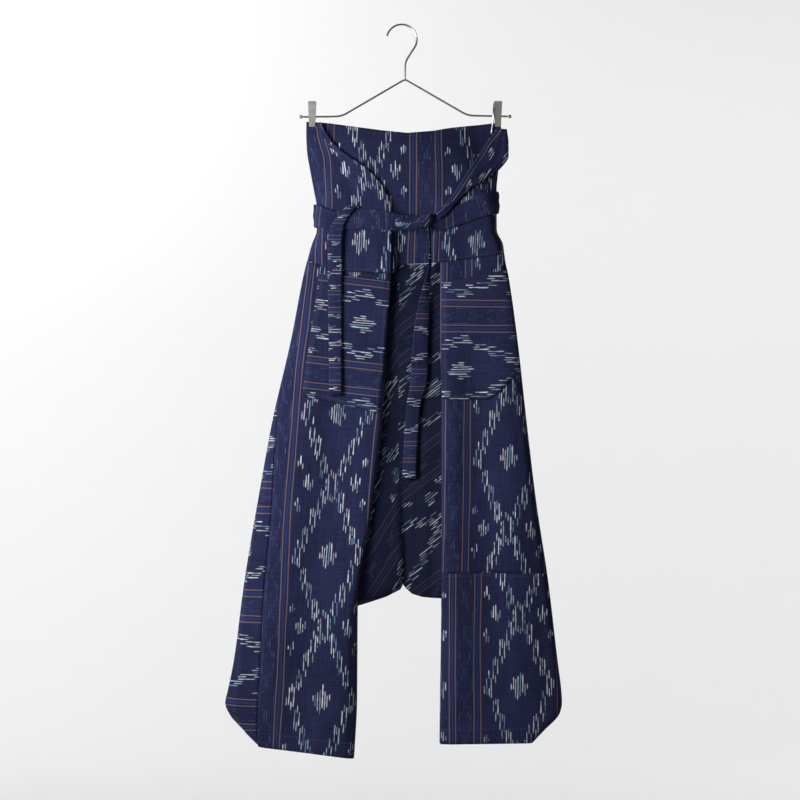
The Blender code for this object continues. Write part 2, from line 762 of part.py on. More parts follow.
def build_legs():
    left = folded(grid_of(left_front_section, shares_at(LEFT_DROPS), below_yoke, left_hem))
    sheet("left_leg_front", left)
    drops = [STRIP_TOP_DROP, *(drop for drop in LEFT_DROPS if drop > STRIP_TOP_DROP)]
    shares = [(drop - LEFT_DROPS[0]) / (LEFT_DROPS[-1] - LEFT_DROPS[0]) for drop in drops]
    sheet("left_side_strip", folded(grid_of(strip_section, shares, below_yoke, left_hem)))
    back = whole_leg_section(BACK, "left", 5)
    sheet("left_leg_back", folded(grid_of(back, shares_at(LEFT_BACK_DROPS), below_back_yoke, left_hem)))
    grids = []
    for side, name, middle, top in ((FRONT, "front", 7, below_yoke), (BACK, "back", 4, below_back_yoke)):
        section = whole_leg_section(side, "right", middle)
        upper = folded(grid_of(section, shares_at(RIGHT_UPPER_DROPS), top, above_join))
        sheet(f"right_leg_{name}", upper)
        lower = folded(grid_of(section, shares_at(RIGHT_LOWER_DROPS), below_join, right_hem))
        sheet(f"right_leg_{name}_lower", lower)
        grids.append(upper)
    return left, grids[0]


def build_gusset():
    for side, name, top in ((FRONT, "gusset_front", below_yoke), (BACK, "gusset_back", below_back_yoke)):
        grid = folded(grid_of(gusset_section(side), GUSSET_SHARES, top, crotch))
        sheet(name, grid, GUSSET_FINISH)


def build_band():
    grid = folded(band_grid())
    sheet("waist_band", grid, thickness=BAND_CLOTH, closed=True)
    return grid


def build_right_tie(under):
    """The loose end that comes from the right clip down to the knot."""
    grid = []
    for i, lift in enumerate(RIGHT_TIE["lift"]):
        row = []
        for u in np.linspace(0, 1, RIGHT_TIE_COLUMNS):
            x = RIGHT_TIE["upper_x"][i] * (1 - u) + RIGHT_TIE["lower_x"][i] * u
            drop = RIGHT_TIE["upper"][i] * (1 - u) + RIGHT_TIE["lower"][i] * u
            side_x = min(x, read(OUTLINE, "right", drop) - TIE_SIDE_CLEARANCE)
            below = [front_most(under, side_x, drop + nearby) for nearby in TIE_NEARBY]
            row.append((x, min(y for y in below if y is not None) - lift, drop))
        grid.append(row)
    sheet("right_tie", np.array(grid))


def hanging_strip(name, source, depths, turns):
    """A flat tie that hangs down, its width turned a little where it twists."""
    grid = []
    for i, depth in enumerate(depths):
        turn = math.radians(turns[i])
        row = []
        for u in (-1, 0, 1):
            reach = u * source["half_width"][i]
            x = source["x"][i] + reach * math.cos(turn)
            row.append((x, -depth + reach * math.sin(turn), source["drop"][i]))
        grid.append(row)
    sheet(name, np.array(grid))


def build_knot(band):
    """The twisted stretch where the ties cross over the band."""
    points = []
    for i, x in enumerate(KNOT["x"]):
        band_y = front_most([band], x, KNOT["drop"][i])
        centre = band_y - BAND_CLOTH / 2 - SEAM - KNOT["half_depth"][i] * (1 + KNOT_GROOVE)
        for k in range(KNOT_SIDES):
            angle = 2 * math.pi * k / KNOT_SIDES
            swell = 1 + KNOT_GROOVE * math.cos(2 * (angle - KNOT_TWIST * x))
            y = centre - KNOT["half_depth"][i] * swell * math.cos(angle)
            points.append((x, y, KNOT["drop"][i] + KNOT["half_height"][i] * swell * math.sin(angle)))
    rings = len(KNOT["x"])
    last = (rings - 1) * KNOT_SIDES
    faces = [tuple(range(KNOT_SIDES))[::-1], tuple(range(last, last + KNOT_SIDES))]
    for r in range(rings - 1):
        for k in range(KNOT_SIDES):
            after = (k + 1) % KNOT_SIDES
            near, far = r * KNOT_SIDES, (r + 1) * KNOT_SIDES
            faces.append((near + k, near + after, far + after, far + k))
    add_mesh("tie_knot", points, faces, CLOTH_FINISH)


def wire(name, path, finish):
    """A round wire along points given as x and drop."""
    curve = bpy.data.curves.new(name, "CURVE")
    curve.dimensions = "3D"
    curve.bevel_depth = WIRE_RADIUS * MM
    curve.bevel_resolution = 2
    curve.use_fill_caps = True
    spline = curve.splines.new("POLY")
    spline.points.add(len(path) - 1)
    for point, (x, drop) in zip(spline.points, path):
        point.co = (x * MM, 0, -drop * MM, 1)
    curve.materials.append(material(name, *finish))
    made = bpy.data.objects.new(name, curve)
    bpy.context.scene.collection.objects.link(made)


def build_hanger():
    centre_drop = HOOK_RADIUS - WIRE_RADIUS
    path = []
    for turn in np.radians(np.linspace(HOOK_TIP_ANGLE, HOOK_END_ANGLE, HOOK_POINTS)):
        x = HOOK_CENTRE_X + HOOK_RADIUS * math.cos(turn)
        path.append((x, centre_drop - HOOK_RADIUS * math.sin(turn)))
    shank_end = (APEX[0], APEX[1] - SHANK_LIFT)
    neck = rounded_path([path[-1], HOOK_NECK, shank_end], [NECK_REACH], [1, 2], [3])
    wire("hanger_hook", path + [tuple(point) for point in neck[1:]], WIRE_FINISH)
    corners = list(zip(ARMS["x"], ARMS["drop"]))
    arms = rounded_path(corners, [BEND_REACH, APEX_REACH, BEND_REACH], [3, 4, 4, 3], [3, 3, 3])
    wire("hanger_arms", arms, WIRE_FINISH)
    for name, end, out in (("left", 0, -1), ("right", -1, 1)):
        bpy.ops.mesh.primitive_uv_sphere_add(segments=12, ring_count=8, radius=BEAD_RADIUS * MM)
        bead = bpy.context.object
        bead.name = f"hanger_bead_{name}"
        x = ARMS["x"][end] + out * (BEAD_RADIUS + SEAM)
        bead.location = (x * MM, 0, -ARMS["drop"][end] * MM)
        bead.data.shade_smooth()
        bead.data.materials.append(material(bead.name, *BEAD_FINISH))


def build_clips():
    """Each clip: a front and a back jaw that pinch the cloth, and a spring round the wire."""
    for name, x, wire_drop in zip(CLIP_NAMES, CLIPS["x"], CLIPS["wire_drop"]):
        for side, word in ((FRONT, "front"), (BACK, "back")):
            grid = [
                [(x + u * w, side * forward, drop) for u in (-1, 0, 1)]
                for drop, forward, w in zip(CLIP_JAW["drop"], CLIP_JAW["forward"], CLIP_JAW["half_width"])
            ]
            sheet(f"clip_{name}_{word}_jaw", np.array(grid), JAW_FINISH, thickness=JAW_PLATE)
        turns = 2 * math.pi * np.arange(SPRING_SIDES) / SPRING_SIDES
        depths = SPRING_RADIUS * np.cos(turns)
        drops = wire_drop + SPRING_RADIUS * np.sin(turns)
        ends = [x - SPRING_HALF_LENGTH, x + SPRING_HALF_LENGTH]
        tube = np.array([[(end, depth, drop) for depth, drop in zip(depths, drops)] for end in ends])
        sheet(f"clip_{name}_spring", tube, SPRING_FINISH, thickness=SPRING_WALL, closed=True)


def main():
    for thing in list(bpy.data.objects):
        bpy.data.objects.remove(thing)
    waist = build_waist()
    left_leg, right_leg = build_legs()
    build_gusset()
    for index, leg in enumerate((left_leg, right_leg)):
        sheet(POCKET_NAMES[index], pocket_grid(leg, index))
    band = build_band()
    build_right_tie([waist, band[:, :BAND_FRONT_COLUMNS]])
    band_front = -front_most([band], *LEFT_TIE_REST)
    hanging_strip("left_tie", LEFT_TIE, LEFT_TIE["forward"] + band_front, np.zeros(len(LEFT_TIE["drop"])))
    hanging_strip("centre_tie", CENTRE_TIE, CENTRE_TIE["depth"], CENTRE_TIE["turn"])
    build_knot(band)
    build_hanger()
    build_clips()


main()
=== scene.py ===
"""Thai fisherman pants on a wire hanger: fine cloth, materials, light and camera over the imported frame.

Tables and sizes are in millimetres, as in the part's source, and are turned into metres when a
mesh is made. x runs to the right, y to the back, and "drop" is how far a point lies below the
place where the hanger's hook rests, so z is minus the drop. Each cloth piece is a thin shell on
its solid's own form, worked out from the same tables, with small creases added.
"across" and "along" are a thread's place in the cloth: along runs with the long pale dashes.
"""

import json
import math

import bpy
import numpy as np
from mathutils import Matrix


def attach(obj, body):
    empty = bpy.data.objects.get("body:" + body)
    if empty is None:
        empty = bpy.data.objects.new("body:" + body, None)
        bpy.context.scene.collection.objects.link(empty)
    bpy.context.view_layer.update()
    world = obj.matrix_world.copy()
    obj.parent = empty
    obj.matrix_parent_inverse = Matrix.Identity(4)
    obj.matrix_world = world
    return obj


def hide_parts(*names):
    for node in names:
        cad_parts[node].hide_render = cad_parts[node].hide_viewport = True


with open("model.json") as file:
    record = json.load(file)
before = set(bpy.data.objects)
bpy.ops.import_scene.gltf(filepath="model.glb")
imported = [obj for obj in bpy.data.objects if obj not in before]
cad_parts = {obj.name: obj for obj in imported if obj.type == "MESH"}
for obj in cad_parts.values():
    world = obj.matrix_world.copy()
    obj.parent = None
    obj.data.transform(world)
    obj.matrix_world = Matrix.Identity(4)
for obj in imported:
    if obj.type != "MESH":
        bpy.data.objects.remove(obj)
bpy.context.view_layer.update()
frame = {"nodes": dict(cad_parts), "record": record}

MM = 0.001
FRONT = -1
BACK = 1

CLOTH = 1.6
HALF = CLOTH / 2
THIN_CLOTH = 0.9
SEAM = 0.3
BAND_CLOTH = 2.2
BAND_GAP = 0.7
SIDE_SPREAD = 1.9
PLEAT_LAYER = 2.6
PLEAT_REACH = 1.3
SIDE_REACH = 17.0
ROLL_REACH = 6.0
LEG_ROLL_REACH = 13.0
TUCK_UNDER = 5.0
CURVED_SEAM = 0.6
CROTCH_ROUNDING = 66.0
RIGHT_JOIN_DROP = 861.0
POCKET_GAP = 0.8
POCKET_ROLL_COLUMNS = 3
POCKET_RUN_ON = 3.0
POCKET_CUT_FROM = 0.55
FOLD_FADE = 0.22
PLEAT_CLEARANCE = 3.0
UNDER_LAYER_RUN = 4.0
RECESS_STEP = 8.0
RECESS_EDGE = 1.0
LEG_ROLL_START = 880.0
LEG_ROLL_RUN = 60.0
SIDE_COLUMNS = (0, 7, 14, 22, 30)
INNER_COLUMNS = (0, 6, 12, 20)
INNER_TURN_POINTS = 5
STEP_HALF = 4.0
STEP_PLACES = (-5, -1, 4, 14)
STEP_END = 2.0
STEP_RETURN = 14.0
WRAP_EDGE_OUT = 6.0
WRAP_RUN_OUT = 34.0
WRAP_RUN_OUT_DEPTH = 0.6
BAND_MIDDLE_DROP = 302.0
BAND_REACHES = (SIDE_REACH + 2, 12, 12, SIDE_REACH + 2, 4, SIDE_REACH + 2, SIDE_REACH + 2)
TIE_SIDE_CLEARANCE = 4.0
TIE_NEARBY = (-9, 0, 9)
LEFT_TIE_REST = (-85, 305)
SETTLE_ROUNDS = 8
LEG_RUNS = (1, 8, 1)
LEG_TURNS = (5, 5)
LEFT_COLUMNS = 8
STRIP_COLUMN_SHARES = (0, 0.25, 0.5)
GUSSET_COLUMNS = 4
BAND_RUNS = (1, 6, 2, 6, 1, 1, 8, 1)
BAND_TURNS = (4, 2, 2, 4, 2, 4, 4)
ROUNDING_ROOM = 0.49
TINY_LENGTH = 1e-6
TINY_AREA = 1e-9
FINE_ROW = 7.0
FINE_COLUMN = 5.0


def table(names, *rows):
    """Columns by name, each an array read down the rows."""
    return {name: np.array(column, float) for name, column in zip(names.split(), zip(*rows))}


OUTLINE = table(
    "drop left right depth side_run recess",
    (152, -153, 154, 1.0, 60, 0.0),
    (160, -153, 155, 2.0, 60, 0.0),
    (171, -153, 156, 7.5, 60, 0.0),
    (196, -152, 154, 11.5, 52, 0.0),
    (228, -147, 151, 14.0, 42, 0.0),
    (259, -141, 148, 16.0, 22, 0.0),
    (290, -136, 148, 17.0, 9, 2.0),
    (322, -136, 148, 18.0, 6, 6.0),
    (345, -144, 158, 20.0, 6, 9.0),
    (371, -151, 161, 22.0, 2, 10.0),
    (401, -158, 167, 24.0, 0, 11.0),
    (495, -176, 180, 25.0, 0, 12.5),
    (621, -205, 194, 26.0, 0, 13.0),
    (747, -228, 209, 27.0, 0, 13.5),
    (873, -249, 228, 27.0, 0, 14.0),
    (999, -266, 243, 26.0, 0, 14.0),
    (1047, -276, 249, 25.0, 0, 14.0),
    (1064, -280, 250, 25.0, 0, 14.0),
    (1080, -274, 247, 24.5, 0, 14.0),
    (1110, -249, 220, 24.0, 0, 14.0),
    (1133, -228, 200, 23.0, 0, 14.0),
    (1160, -214, 188, 23.0, 0, 14.0),
)
INNER_EDGES = table(
    "drop left right",
    (340, -18, 58),
    (393, -18, 58),
    (495, -25, 58),
    (590, -30, 60),
    (763, -49, 60),
    (914, -71, 60),
    (1062, -72, 58),
    (1160, -77, 57),
)
WRAP_FOLD = table(
    "drop edge back_turn",
    (150, -130, 2),
    (176, -117, 8),
    (204, -91, 13),
    (228, -56, 17),
    (259, -29, 18),
    (283, -20, 16),
    (322, -18, 12),
    (400, -18, 8),
)
STRIP_SEAM = table(
    "drop x",
    (559.3, -187),
    (621, -197),
    (779, -207),
    (884, -217),
    (1036, -225),
    (1160, -231),
)
TOP_EDGE = table("x drop", (-153, 152), (-120, 154), (-60, 163), (14, 171), (80, 162), (161, 152))
YOKE_SEAM = table(
    "x drop",
    (-153, 371),
    (-122, 381),
    (-91, 388),
    (-20, 391),
    (-8, 378),
    (48, 375),
    (161, 361),
)
BACK_YOKE_SEAM = table("x drop", (-153, 371), (-60, 376), (60, 373), (161, 361))
LEFT_HEM = table("x drop", (-280, 1128), (-228, 1133), (-77, 1152))
RIGHT_HEM = table("x drop", (57, 1129), (200, 1127), (250, 1126))
CROTCH = table(
    "x drop",
    (-80, 915),
    (-72, 914),
    (-38, 903),
    (-6, 891),
    (0, 880),
    (6, 888),
    (23, 899),
    (59, 902),
    (70, 902),
)
GUSSET_STEP = table("drop x step", (370, -6, 0), (650, -8, 0), (760, -6, 3), (860, -1, 6), (920, 1, 6))

FOLDS = table(
    "side top_drop top_x low_drop low_x rise width",
    (FRONT, 160, -150, 290, -104, 3.5, 11),
    (FRONT, 175, -122, 300, -62, -1.6, 13),
    (FRONT, 215, 128, 320, 78, -2.2, 16),
    (FRONT, 315, -104, 400, -112, 1.6, 9),
    (FRONT, 312, -62, 400, -58, -1.5, 10),
    (FRONT, 312, 96, 400, 100, -1.8, 12),
    (FRONT, 430, -132, 1130, -222, 3.6, 28),
    (FRONT, 480, -92, 1150, -160, -3.5, 30),
    (FRONT, 560, -52, 1160, -103, 2.8, 22),
    (FRONT, 430, 148, 1130, 208, 3.4, 28),
    (FRONT, 450, 106, 1130, 148, -3.5, 30),
    (FRONT, 470, 76, 1130, 84, 2.4, 20),
    (FRONT, 590, -30, 905, -40, 2.4, 18),
    (FRONT, 590, 34, 905, 32, 2.2, 16),
    (BACK, 170, -70, 360, -84, -3.0, 22),
    (BACK, 175, 20, 360, 18, 3.0, 26),
    (BACK, 170, 92, 360, 104, -3.0, 22),
    (BACK, 430, -128, 1130, -205, 4.0, 22),
    (BACK, 470, -92, 1150, -150, -3.5, 25),
    (BACK, 450, 112, 1130, 148, -3.5, 25),
    (BACK, 430, 152, 1130, 205, 4.0, 20),
    (BACK, 520, 18, 900, -2, 3.0, 16),
)
FOLD_FULL_DEPTH = 8.0
WAIST_SLACK = table("x out", (-112, 0), (-62, 9), (15, 12), (75, 9), (118, 0))
SLACK_SHARE = table("drop share", (150, 1), (178, 1), (266, 0))

POCKETS = table(
    "top_left_x top_left top_right_x top_right low_right_x low_right low_left_x low_left",
    (-131, 392, -19.5, 403, -36, 611, -158, 583),
    (60, 407, 163, 386, 185, 549, 61, 589),
)
POCKET_ROWS = 32
POCKET_COLUMNS = (0, 0.08, 0.19, 0.32, 0.45, 0.58, 0.7, 0.8, 0.87, 0.92, 0.96, 0.985, 1)

BAND_EDGES = table(
    "x upper lower",
    (-140, 282, 318),
    (-106, 294, 322),
    (-60, 290, 323),
    (20, 302, 325),
    (60, 296, 324),
    (110, 276, 308),
    (151, 262, 296),
)
RIGHT_TIE = table(
    "upper_x upper lower_x lower lift",
    (149, 163, 163, 164, 2.4),
    (142, 172, 166, 186, 2.4),
    (134, 181, 166, 206, 2.6),
    (122, 200, 153, 226, 2.8),
    (108, 221, 126, 245, 3.0),
    (92, 247, 102, 262, 3.0),
    (76, 272, 84, 279, 3.0),
    (62, 286, 69, 298, 3.2),
    (50, 295, 56, 309, 3.4),
)
LEFT_TIE = table(
    "drop x half_width forward",
    (289.4, -77, 8, 0.0),
    (287.4, -78, 8, 0.5),
    (286.6, -79.5, 8, 1.9),
    (288, -81.5, 8, 3.2),
    (295, -87, 8.5, 3.6),
    (306, -96, 9, 3.8),
    (322, -104, 10.5, 4.2),
    (345, -106.5, 11, 5.5),
    (400, -106.5, 11, 8.0),
    (470, -106, 10.5, 8.5),
    (530, -105.5, 10, 9.0),
    (582, -105.5, 10, 9.0),
)
CENTRE_TIE = table(
    "drop x half_width depth turn",
    (317.3, 40, 3.6, 27.5, 60),
    (345, 42.5, 3.4, 25.5, 65),
    (375, 42.5, 3.6, 23.5, 55),
    (405, 38, 5.5, 22.5, 40),
    (440, 33, 9.5, 22.0, 20),
    (500, 27.5, 12.5, 21.5, 8),
    (560, 25, 13.5, 21.5, 10),
    (600, 16, 10.8, 21.0, 6),
    (660, 12, 10.6, 20.5, 0),
    (713, 9.5, 10.6, 20.5, 0),
)
KNOT = table(
    "x drop half_height half_depth",
    (-12, 313, 4, 2.2),
    (-5, 313, 8, 3.6),
    (5, 314, 9.6, 4.6),
    (15, 314, 9.2, 5.0),
    (25, 313, 10.2, 5.2),
    (35, 310, 9.2, 5.2),
    (42, 307, 8, 4.2),
    (46, 305, 5.5, 2.6),
)
KNOT_TWIST = 0.11
KNOT_GROOVE = 0.10
WAIST_DROPS = (152, 162, 178, 196, 214, 232, 250, 268, 285, 303, 322, 338, 354, 371)
WAIST_BACK_DROPS = (152, 165, 190, 220, 250, 285, 303, 322, 345, 371)
LEFT_DROPS = (371, 430, 495, 558, 560, 620, 680, 735, 785, 827, 854)
LEFT_DROPS += (871, 884, 892, 899, 950, 1005, 1062, 1082, 1104, 1121, 1133)
LEFT_BACK_DROPS = (371, 440, 520, 600, 690, 770, 832, 859, 875.5, 888, 896, 902, 980, 1062, 1086, 1110, 1133)
RIGHT_UPPER_DROPS = (361, 430, 500, 575, 650, 725, 790, 832.5, 861)
RIGHT_LOWER_DROPS = (861, 877.6, 890.9, 898.8, 905, 960, 1020, 1062, 1082, 1104, 1127)
STRIP_TOP_DROP = 560.7
STRIP_START = 3.0
STRIP_WIDENING = 60.0


def smooth(knots, values, x):
    """A smooth curve through the table's points that never swings past them, read at x."""
    step = np.diff(knots)
    slope = np.diff(values) / step
    tangent = np.zeros_like(values)
    product = slope[:-1] * slope[1:]
    total = np.where(product > 0, slope[:-1] + slope[1:], 1)
    tangent[1:-1] = np.where(product > 0, 2 * product / total, 0)
    tangent[0] = slope[0]
    tangent[-1] = slope[-1]
    x = min(max(x, knots[0]), knots[-1])
    i = min(max(int(np.searchsorted(knots, x)) - 1, 0), len(step) - 1)
    t = (x - knots[i]) / step[i]
    rise = values[i + 1] - values[i]
    start = tangent[i] * step[i]
    end = tangent[i + 1] * step[i]
    return values[i] + start * t + (3 * rise - 2 * start - end) * t**2 + (start + end - 2 * rise) * t**3


def read(source, column, where, by="drop"):
    return smooth(source[by], source[column], where)


def ease(t):
    """A soft step from 0 to 1, for one value or an array."""
    t = np.clip(t, 0, 1)
    return t * t * (3 - 2 * t)


def top_edge(x):
    return read(TOP_EDGE, "drop", x, by="x")


def yoke(x):
    return read(YOKE_SEAM, "drop", x, by="x")


def below_yoke(x):
    return yoke(x) + CURVED_SEAM


def back_yoke(x):
    return read(BACK_YOKE_SEAM, "drop", x, by="x")


def below_back_yoke(x):
    return back_yoke(x) + CURVED_SEAM


def crotch(x):
    return read(CROTCH, "drop", x, by="x")


def left_hem(x):
    return read(LEFT_HEM, "drop", x, by="x")


def right_hem(x):
    return read(RIGHT_HEM, "drop", x, by="x")


def above_join(x):
    return RIGHT_JOIN_DROP - SEAM / 2


def below_join(x):
    return RIGHT_JOIN_DROP + SEAM / 2


def waist_slack(x, drop):
    """How far the waist's mouth hangs open at a place: not at the clips, most between them."""
    return read(WAIST_SLACK, "out", x, by="x") * read(SLACK_SHARE, "share", drop)


def rounded_path(corners, reaches, runs, turns):
    """A path through corners: straight runs, with each inner corner rounded over its reach."""
    corners = [np.array(corner, float) for corner in corners]
    lengths = [max(np.linalg.norm(b - a), TINY_LENGTH) for a, b in zip(corners, corners[1:])]
    ways = [(b - a) / length for a, b, length in zip(corners, corners[1:], lengths)]
    room = [min(a, b) * ROUNDING_ROOM for a, b in zip(lengths, lengths[1:])]
    reach = [0.0] + [min(asked, most) for asked, most in zip(reaches, room)] + [0.0]
    path = []
    for i, way in enumerate(ways):
        start = corners[i] + way * reach[i]
        end = corners[i + 1] - way * reach[i + 1]
        path += [start + (end - start) * k / runs[i] for k in range(runs[i])]
        if i + 1 == len(ways):
            path.append(end)
            continue
        after = corners[i + 1] + ways[i + 1] * reach[i + 1]
        for k in range(turns[i]):
            t = k / turns[i]
            path.append((1 - t) ** 2 * end + 2 * t * (1 - t) * corners[i + 1] + t * t * after)
    return np.array(path)


def off_seam_plane(path, side):
    """The path kept on its own side of the plane where front and back meet."""
    way = np.gradient(path, axis=0)
    tilt = np.abs(way[:, 0]) / np.maximum(np.linalg.norm(way, axis=1), TINY_LENGTH)
    kept = path.copy()
    kept[:, 1] = side * np.maximum(side * path[:, 1], SEAM / 2 + HALF * tilt)
    return kept


def settled(source, column, share, upper, lower):
    """The drop and x of an edge on the row that lies this share of the way down."""
    x = source[column][0]
    drop = 0.0
    for _ in range(SETTLE_ROUNDS):
        drop = upper(x) + share * (lower(x) - upper(x))
        x = read(source, column, drop)
    return drop, x


def gusset_depth(x, drop):
    """How far the gusset's middle lies from the seam plane: it closes round the crotch."""
    near = min(max(1 - (crotch(x) - drop) / CROTCH_ROUNDING, 0), 1)
    return read(OUTLINE, "recess", drop) * math.sqrt(1 - near**2) + HALF + SEAM / 2


def inner_rim(x, drop):
    """Where a leg's inner edge ends: on the gusset above the crotch, on the seam plane below it."""
    if drop > crotch(x):
        return 0.0
    return gusset_depth(x, drop) + HALF + CURVED_SEAM


def grid_of(section, shares, upper, lower):
    """One section a row, with each point dropped to the row's own line."""
    grid = []
    for share in shares:
        path = section(share, upper, lower)
        grid.append([(x, y, upper(x) + share * (lower(x) - upper(x))) for x, y in path])
    return np.array(grid)


def waist_front_section(share, upper, lower):
    """From the left side across the wrap, round its folded edge and back, then to the right."""
    drop, left = settled(OUTLINE, "left", share, upper, lower)
    fold_drop, edge = settled(WRAP_FOLD, "edge", share, upper, lower)
    right_drop, right = settled(OUTLINE, "right", share, upper, lower)
    inner = read(INNER_EDGES, "right", right_drop)
    back_turn = read(WRAP_FOLD, "back_turn", fold_drop)
    depth = read(OUTLINE, "depth", fold_drop)
    under = max(depth, HALF + SEAM / 2)
    wrap = under + 2 * PLEAT_LAYER
    centre = max(under - read(OUTLINE, "recess", fold_drop), HALF + SEAM / 2)
    side_depth = read(OUTLINE, "depth", drop)
    left_run = read(OUTLINE, "side_run", drop)
    right_depth = read(OUTLINE, "depth", right_drop)
    right_run = read(OUTLINE, "side_run", right_drop)
    turn_x = edge - HALF
    corners = [
        (left + HALF, 0),
        (min(left + HALF + left_run, turn_x - back_turn - PLEAT_CLEARANCE), -side_depth),
        (turn_x, -wrap),
        (turn_x, -wrap + PLEAT_LAYER),
        (turn_x - back_turn, -wrap + PLEAT_LAYER),
        (turn_x - back_turn, -under),
        (turn_x + UNDER_LAYER_RUN, -under),
        (turn_x + UNDER_LAYER_RUN + RECESS_STEP, -centre),
        (inner - RECESS_STEP, -centre),
        (inner + RECESS_EDGE, -right_depth),
        (right - HALF - right_run, -right_depth),
        (right - HALF, 0),
    ]
    reaches = [SIDE_REACH, PLEAT_REACH, PLEAT_REACH, PLEAT_REACH, PLEAT_REACH, 3, 3, 3, 3, SIDE_REACH]
    runs = [1, 6, 1, 2, 1, 2, 1, 4, 1, 5, 1]
    turns = [3, 2, 2, 2, 2, 1, 1, 1, 1, 3]
    return off_seam_plane(rounded_path(corners, reaches, runs, turns), FRONT)


def waist_back_section(share, upper, lower):
    """From side to side, with the centre set in as far as the gusset below it."""
    drop, left = settled(OUTLINE, "left", share, upper, lower)
    right_drop, right = settled(OUTLINE, "right", share, upper, lower)
    depth = read(OUTLINE, "depth", drop)
    recess = read(OUTLINE, "recess", drop)
    run = read(OUTLINE, "side_run", drop)
    inner_left = read(INNER_EDGES, "left", drop)
    inner_right = read(INNER_EDGES, "right", drop)
    corners = [
        (left + HALF, 0),
        (left + HALF + run, depth),
        (inner_left - RECESS_EDGE, depth),
        (inner_left + RECESS_STEP, depth - recess),
        (inner_right - RECESS_STEP, depth - recess),
        (inner_right + RECESS_EDGE, depth),
        (right - HALF - run, depth),
        (right - HALF, 0),
    ]
    reaches = [SIDE_REACH, 3, 3, 3, 3, SIDE_REACH]
    runs = [1, 4, 1, 3, 1, 4, 1]
    turns = [3, 1, 1, 1, 1, 3]
    return off_seam_plane(rounded_path(corners, reaches, runs, turns), BACK)


def leg_path(side, column, share, upper, lower):
    """One leg's whole front or back, from the side seam round to its inner edge."""
    drop, outer = settled(OUTLINE, column, share, upper, lower)
    inner_drop, inner = settled(INNER_EDGES, column, share, upper, lower)
    towards = 1 if inner > outer else -1
    depth = side * read(OUTLINE, "depth", drop)
    inner_depth = side * read(OUTLINE, "depth", inner_drop)
    outer_x = outer + towards * HALF
    inner_x = inner - towards * HALF
    roll = ROLL_REACH + (LEG_ROLL_REACH - ROLL_REACH) * ease((inner_drop - LEG_ROLL_START) / LEG_ROLL_RUN)
    rim = side * inner_rim(inner, inner_drop)
    corners = [(outer_x, 0), (outer_x, depth), (inner_x, inner_depth), (inner_x, rim)]
    return off_seam_plane(rounded_path(corners, [SIDE_REACH, roll], LEG_RUNS, LEG_TURNS), side)


def arc_lengths(path):
    return np.concatenate([[0], np.cumsum(np.linalg.norm(np.diff(path, axis=0), axis=1))])


def piece_of(path, first, last, near_first, middle, near_last):
    """Points along a stretch of the path: some near each end, by distance, and some between."""
    length = last - first
    near_last = [length - d for d in near_last][::-1]
    between = np.linspace(near_first[-1], near_last[0], middle + 2)[1:-1]
    arcs = first + np.concatenate([near_first, between, near_last])
    along = arc_lengths(path)
    return np.array([[np.interp(arc, along, path[:, k]) for k in range(2)] for arc in arcs])


def arc_at_x(path, x):
    """How far along the path its first crossing of x lies."""
    along = arc_lengths(path)
    rising = 1 if path[len(path) // 2, 0] > path[0, 0] else -1
    flat = len(path) - INNER_TURN_POINTS
    return float(np.interp(rising * x, rising * path[:flat, 0], along[:flat]))


def whole_leg_section(side, column, middle):
    """A leg panel from the side seam to the inner edge."""

    def section(share, upper, lower):
        path = leg_path(side, column, share, upper, lower)
        return piece_of(path, 0, arc_lengths(path)[-1], SIDE_COLUMNS, middle, INNER_COLUMNS)

    return section


def strip_width(path, share, upper, lower):
    """How far round from the side seam the side strip reaches: it starts as a point below the pocket."""
    seam_drop, seam = settled(STRIP_SEAM, "x", share, upper, lower)
    whole = arc_at_x(path, seam) - STRIP_START
    return STRIP_START + max(whole, 0) * ease((seam_drop - STRIP_SEAM["drop"][0]) / STRIP_WIDENING)


def left_front_section(share, upper, lower):
    """The left front panel: to the side seam above, and to the side strip's seam below."""
    path = leg_path(FRONT, "left", share, upper, lower)
    first = 0.0
    if settled(STRIP_SEAM, "x", share, upper, lower)[0] > STRIP_SEAM["drop"][0]:
        first = strip_width(path, share, upper, lower) + CURVED_SEAM / 2
    return piece_of(path, first, arc_lengths(path)[-1], SIDE_COLUMNS, LEFT_COLUMNS, INNER_COLUMNS)


def strip_section(share, upper, lower):
    """The narrow strip down the outer side of the left leg."""
    path = leg_path(FRONT, "left", share, upper, lower)
    last = strip_width(path, share, upper, lower) - CURVED_SEAM / 2
    near_side = [last * share for share in STRIP_COLUMN_SHARES]
    return piece_of(path, 0, last, near_side, 1, (0,))


def gusset_section(side):
    """Between the legs, its edges tucked under theirs; the front steps back past its middle."""

    def section(share, upper, lower):
        drop, left = settled(INNER_EDGES, "left", share, upper, lower)
        right_drop, right = settled(INNER_EDGES, "right", share, upper, lower)
        step_x = read(GUSSET_STEP, "x", drop)
        step = read(GUSSET_STEP, "step", drop) if side == FRONT else 0
        before, near, past, beyond = (step_x + place for place in STEP_PLACES)
        places = [left - TUCK_UNDER, *np.linspace(left - HALF, before, GUSSET_COLUMNS), near, past]
        places += [*np.linspace(beyond, right + HALF, GUSSET_COLUMNS), right + TUCK_UNDER]
        path = []
        for x in places:
            here = upper(x) + share * (lower(x) - upper(x))
            past_step = ease((x - step_x + STEP_HALF) / (2 * STEP_HALF))
            inset = step * past_step * ease((right - STEP_END - x) / STEP_RETURN)
            path.append((x, side * max(gusset_depth(x, here) - inset, HALF + SEAM / 2)))
        return np.array(path)

    return section


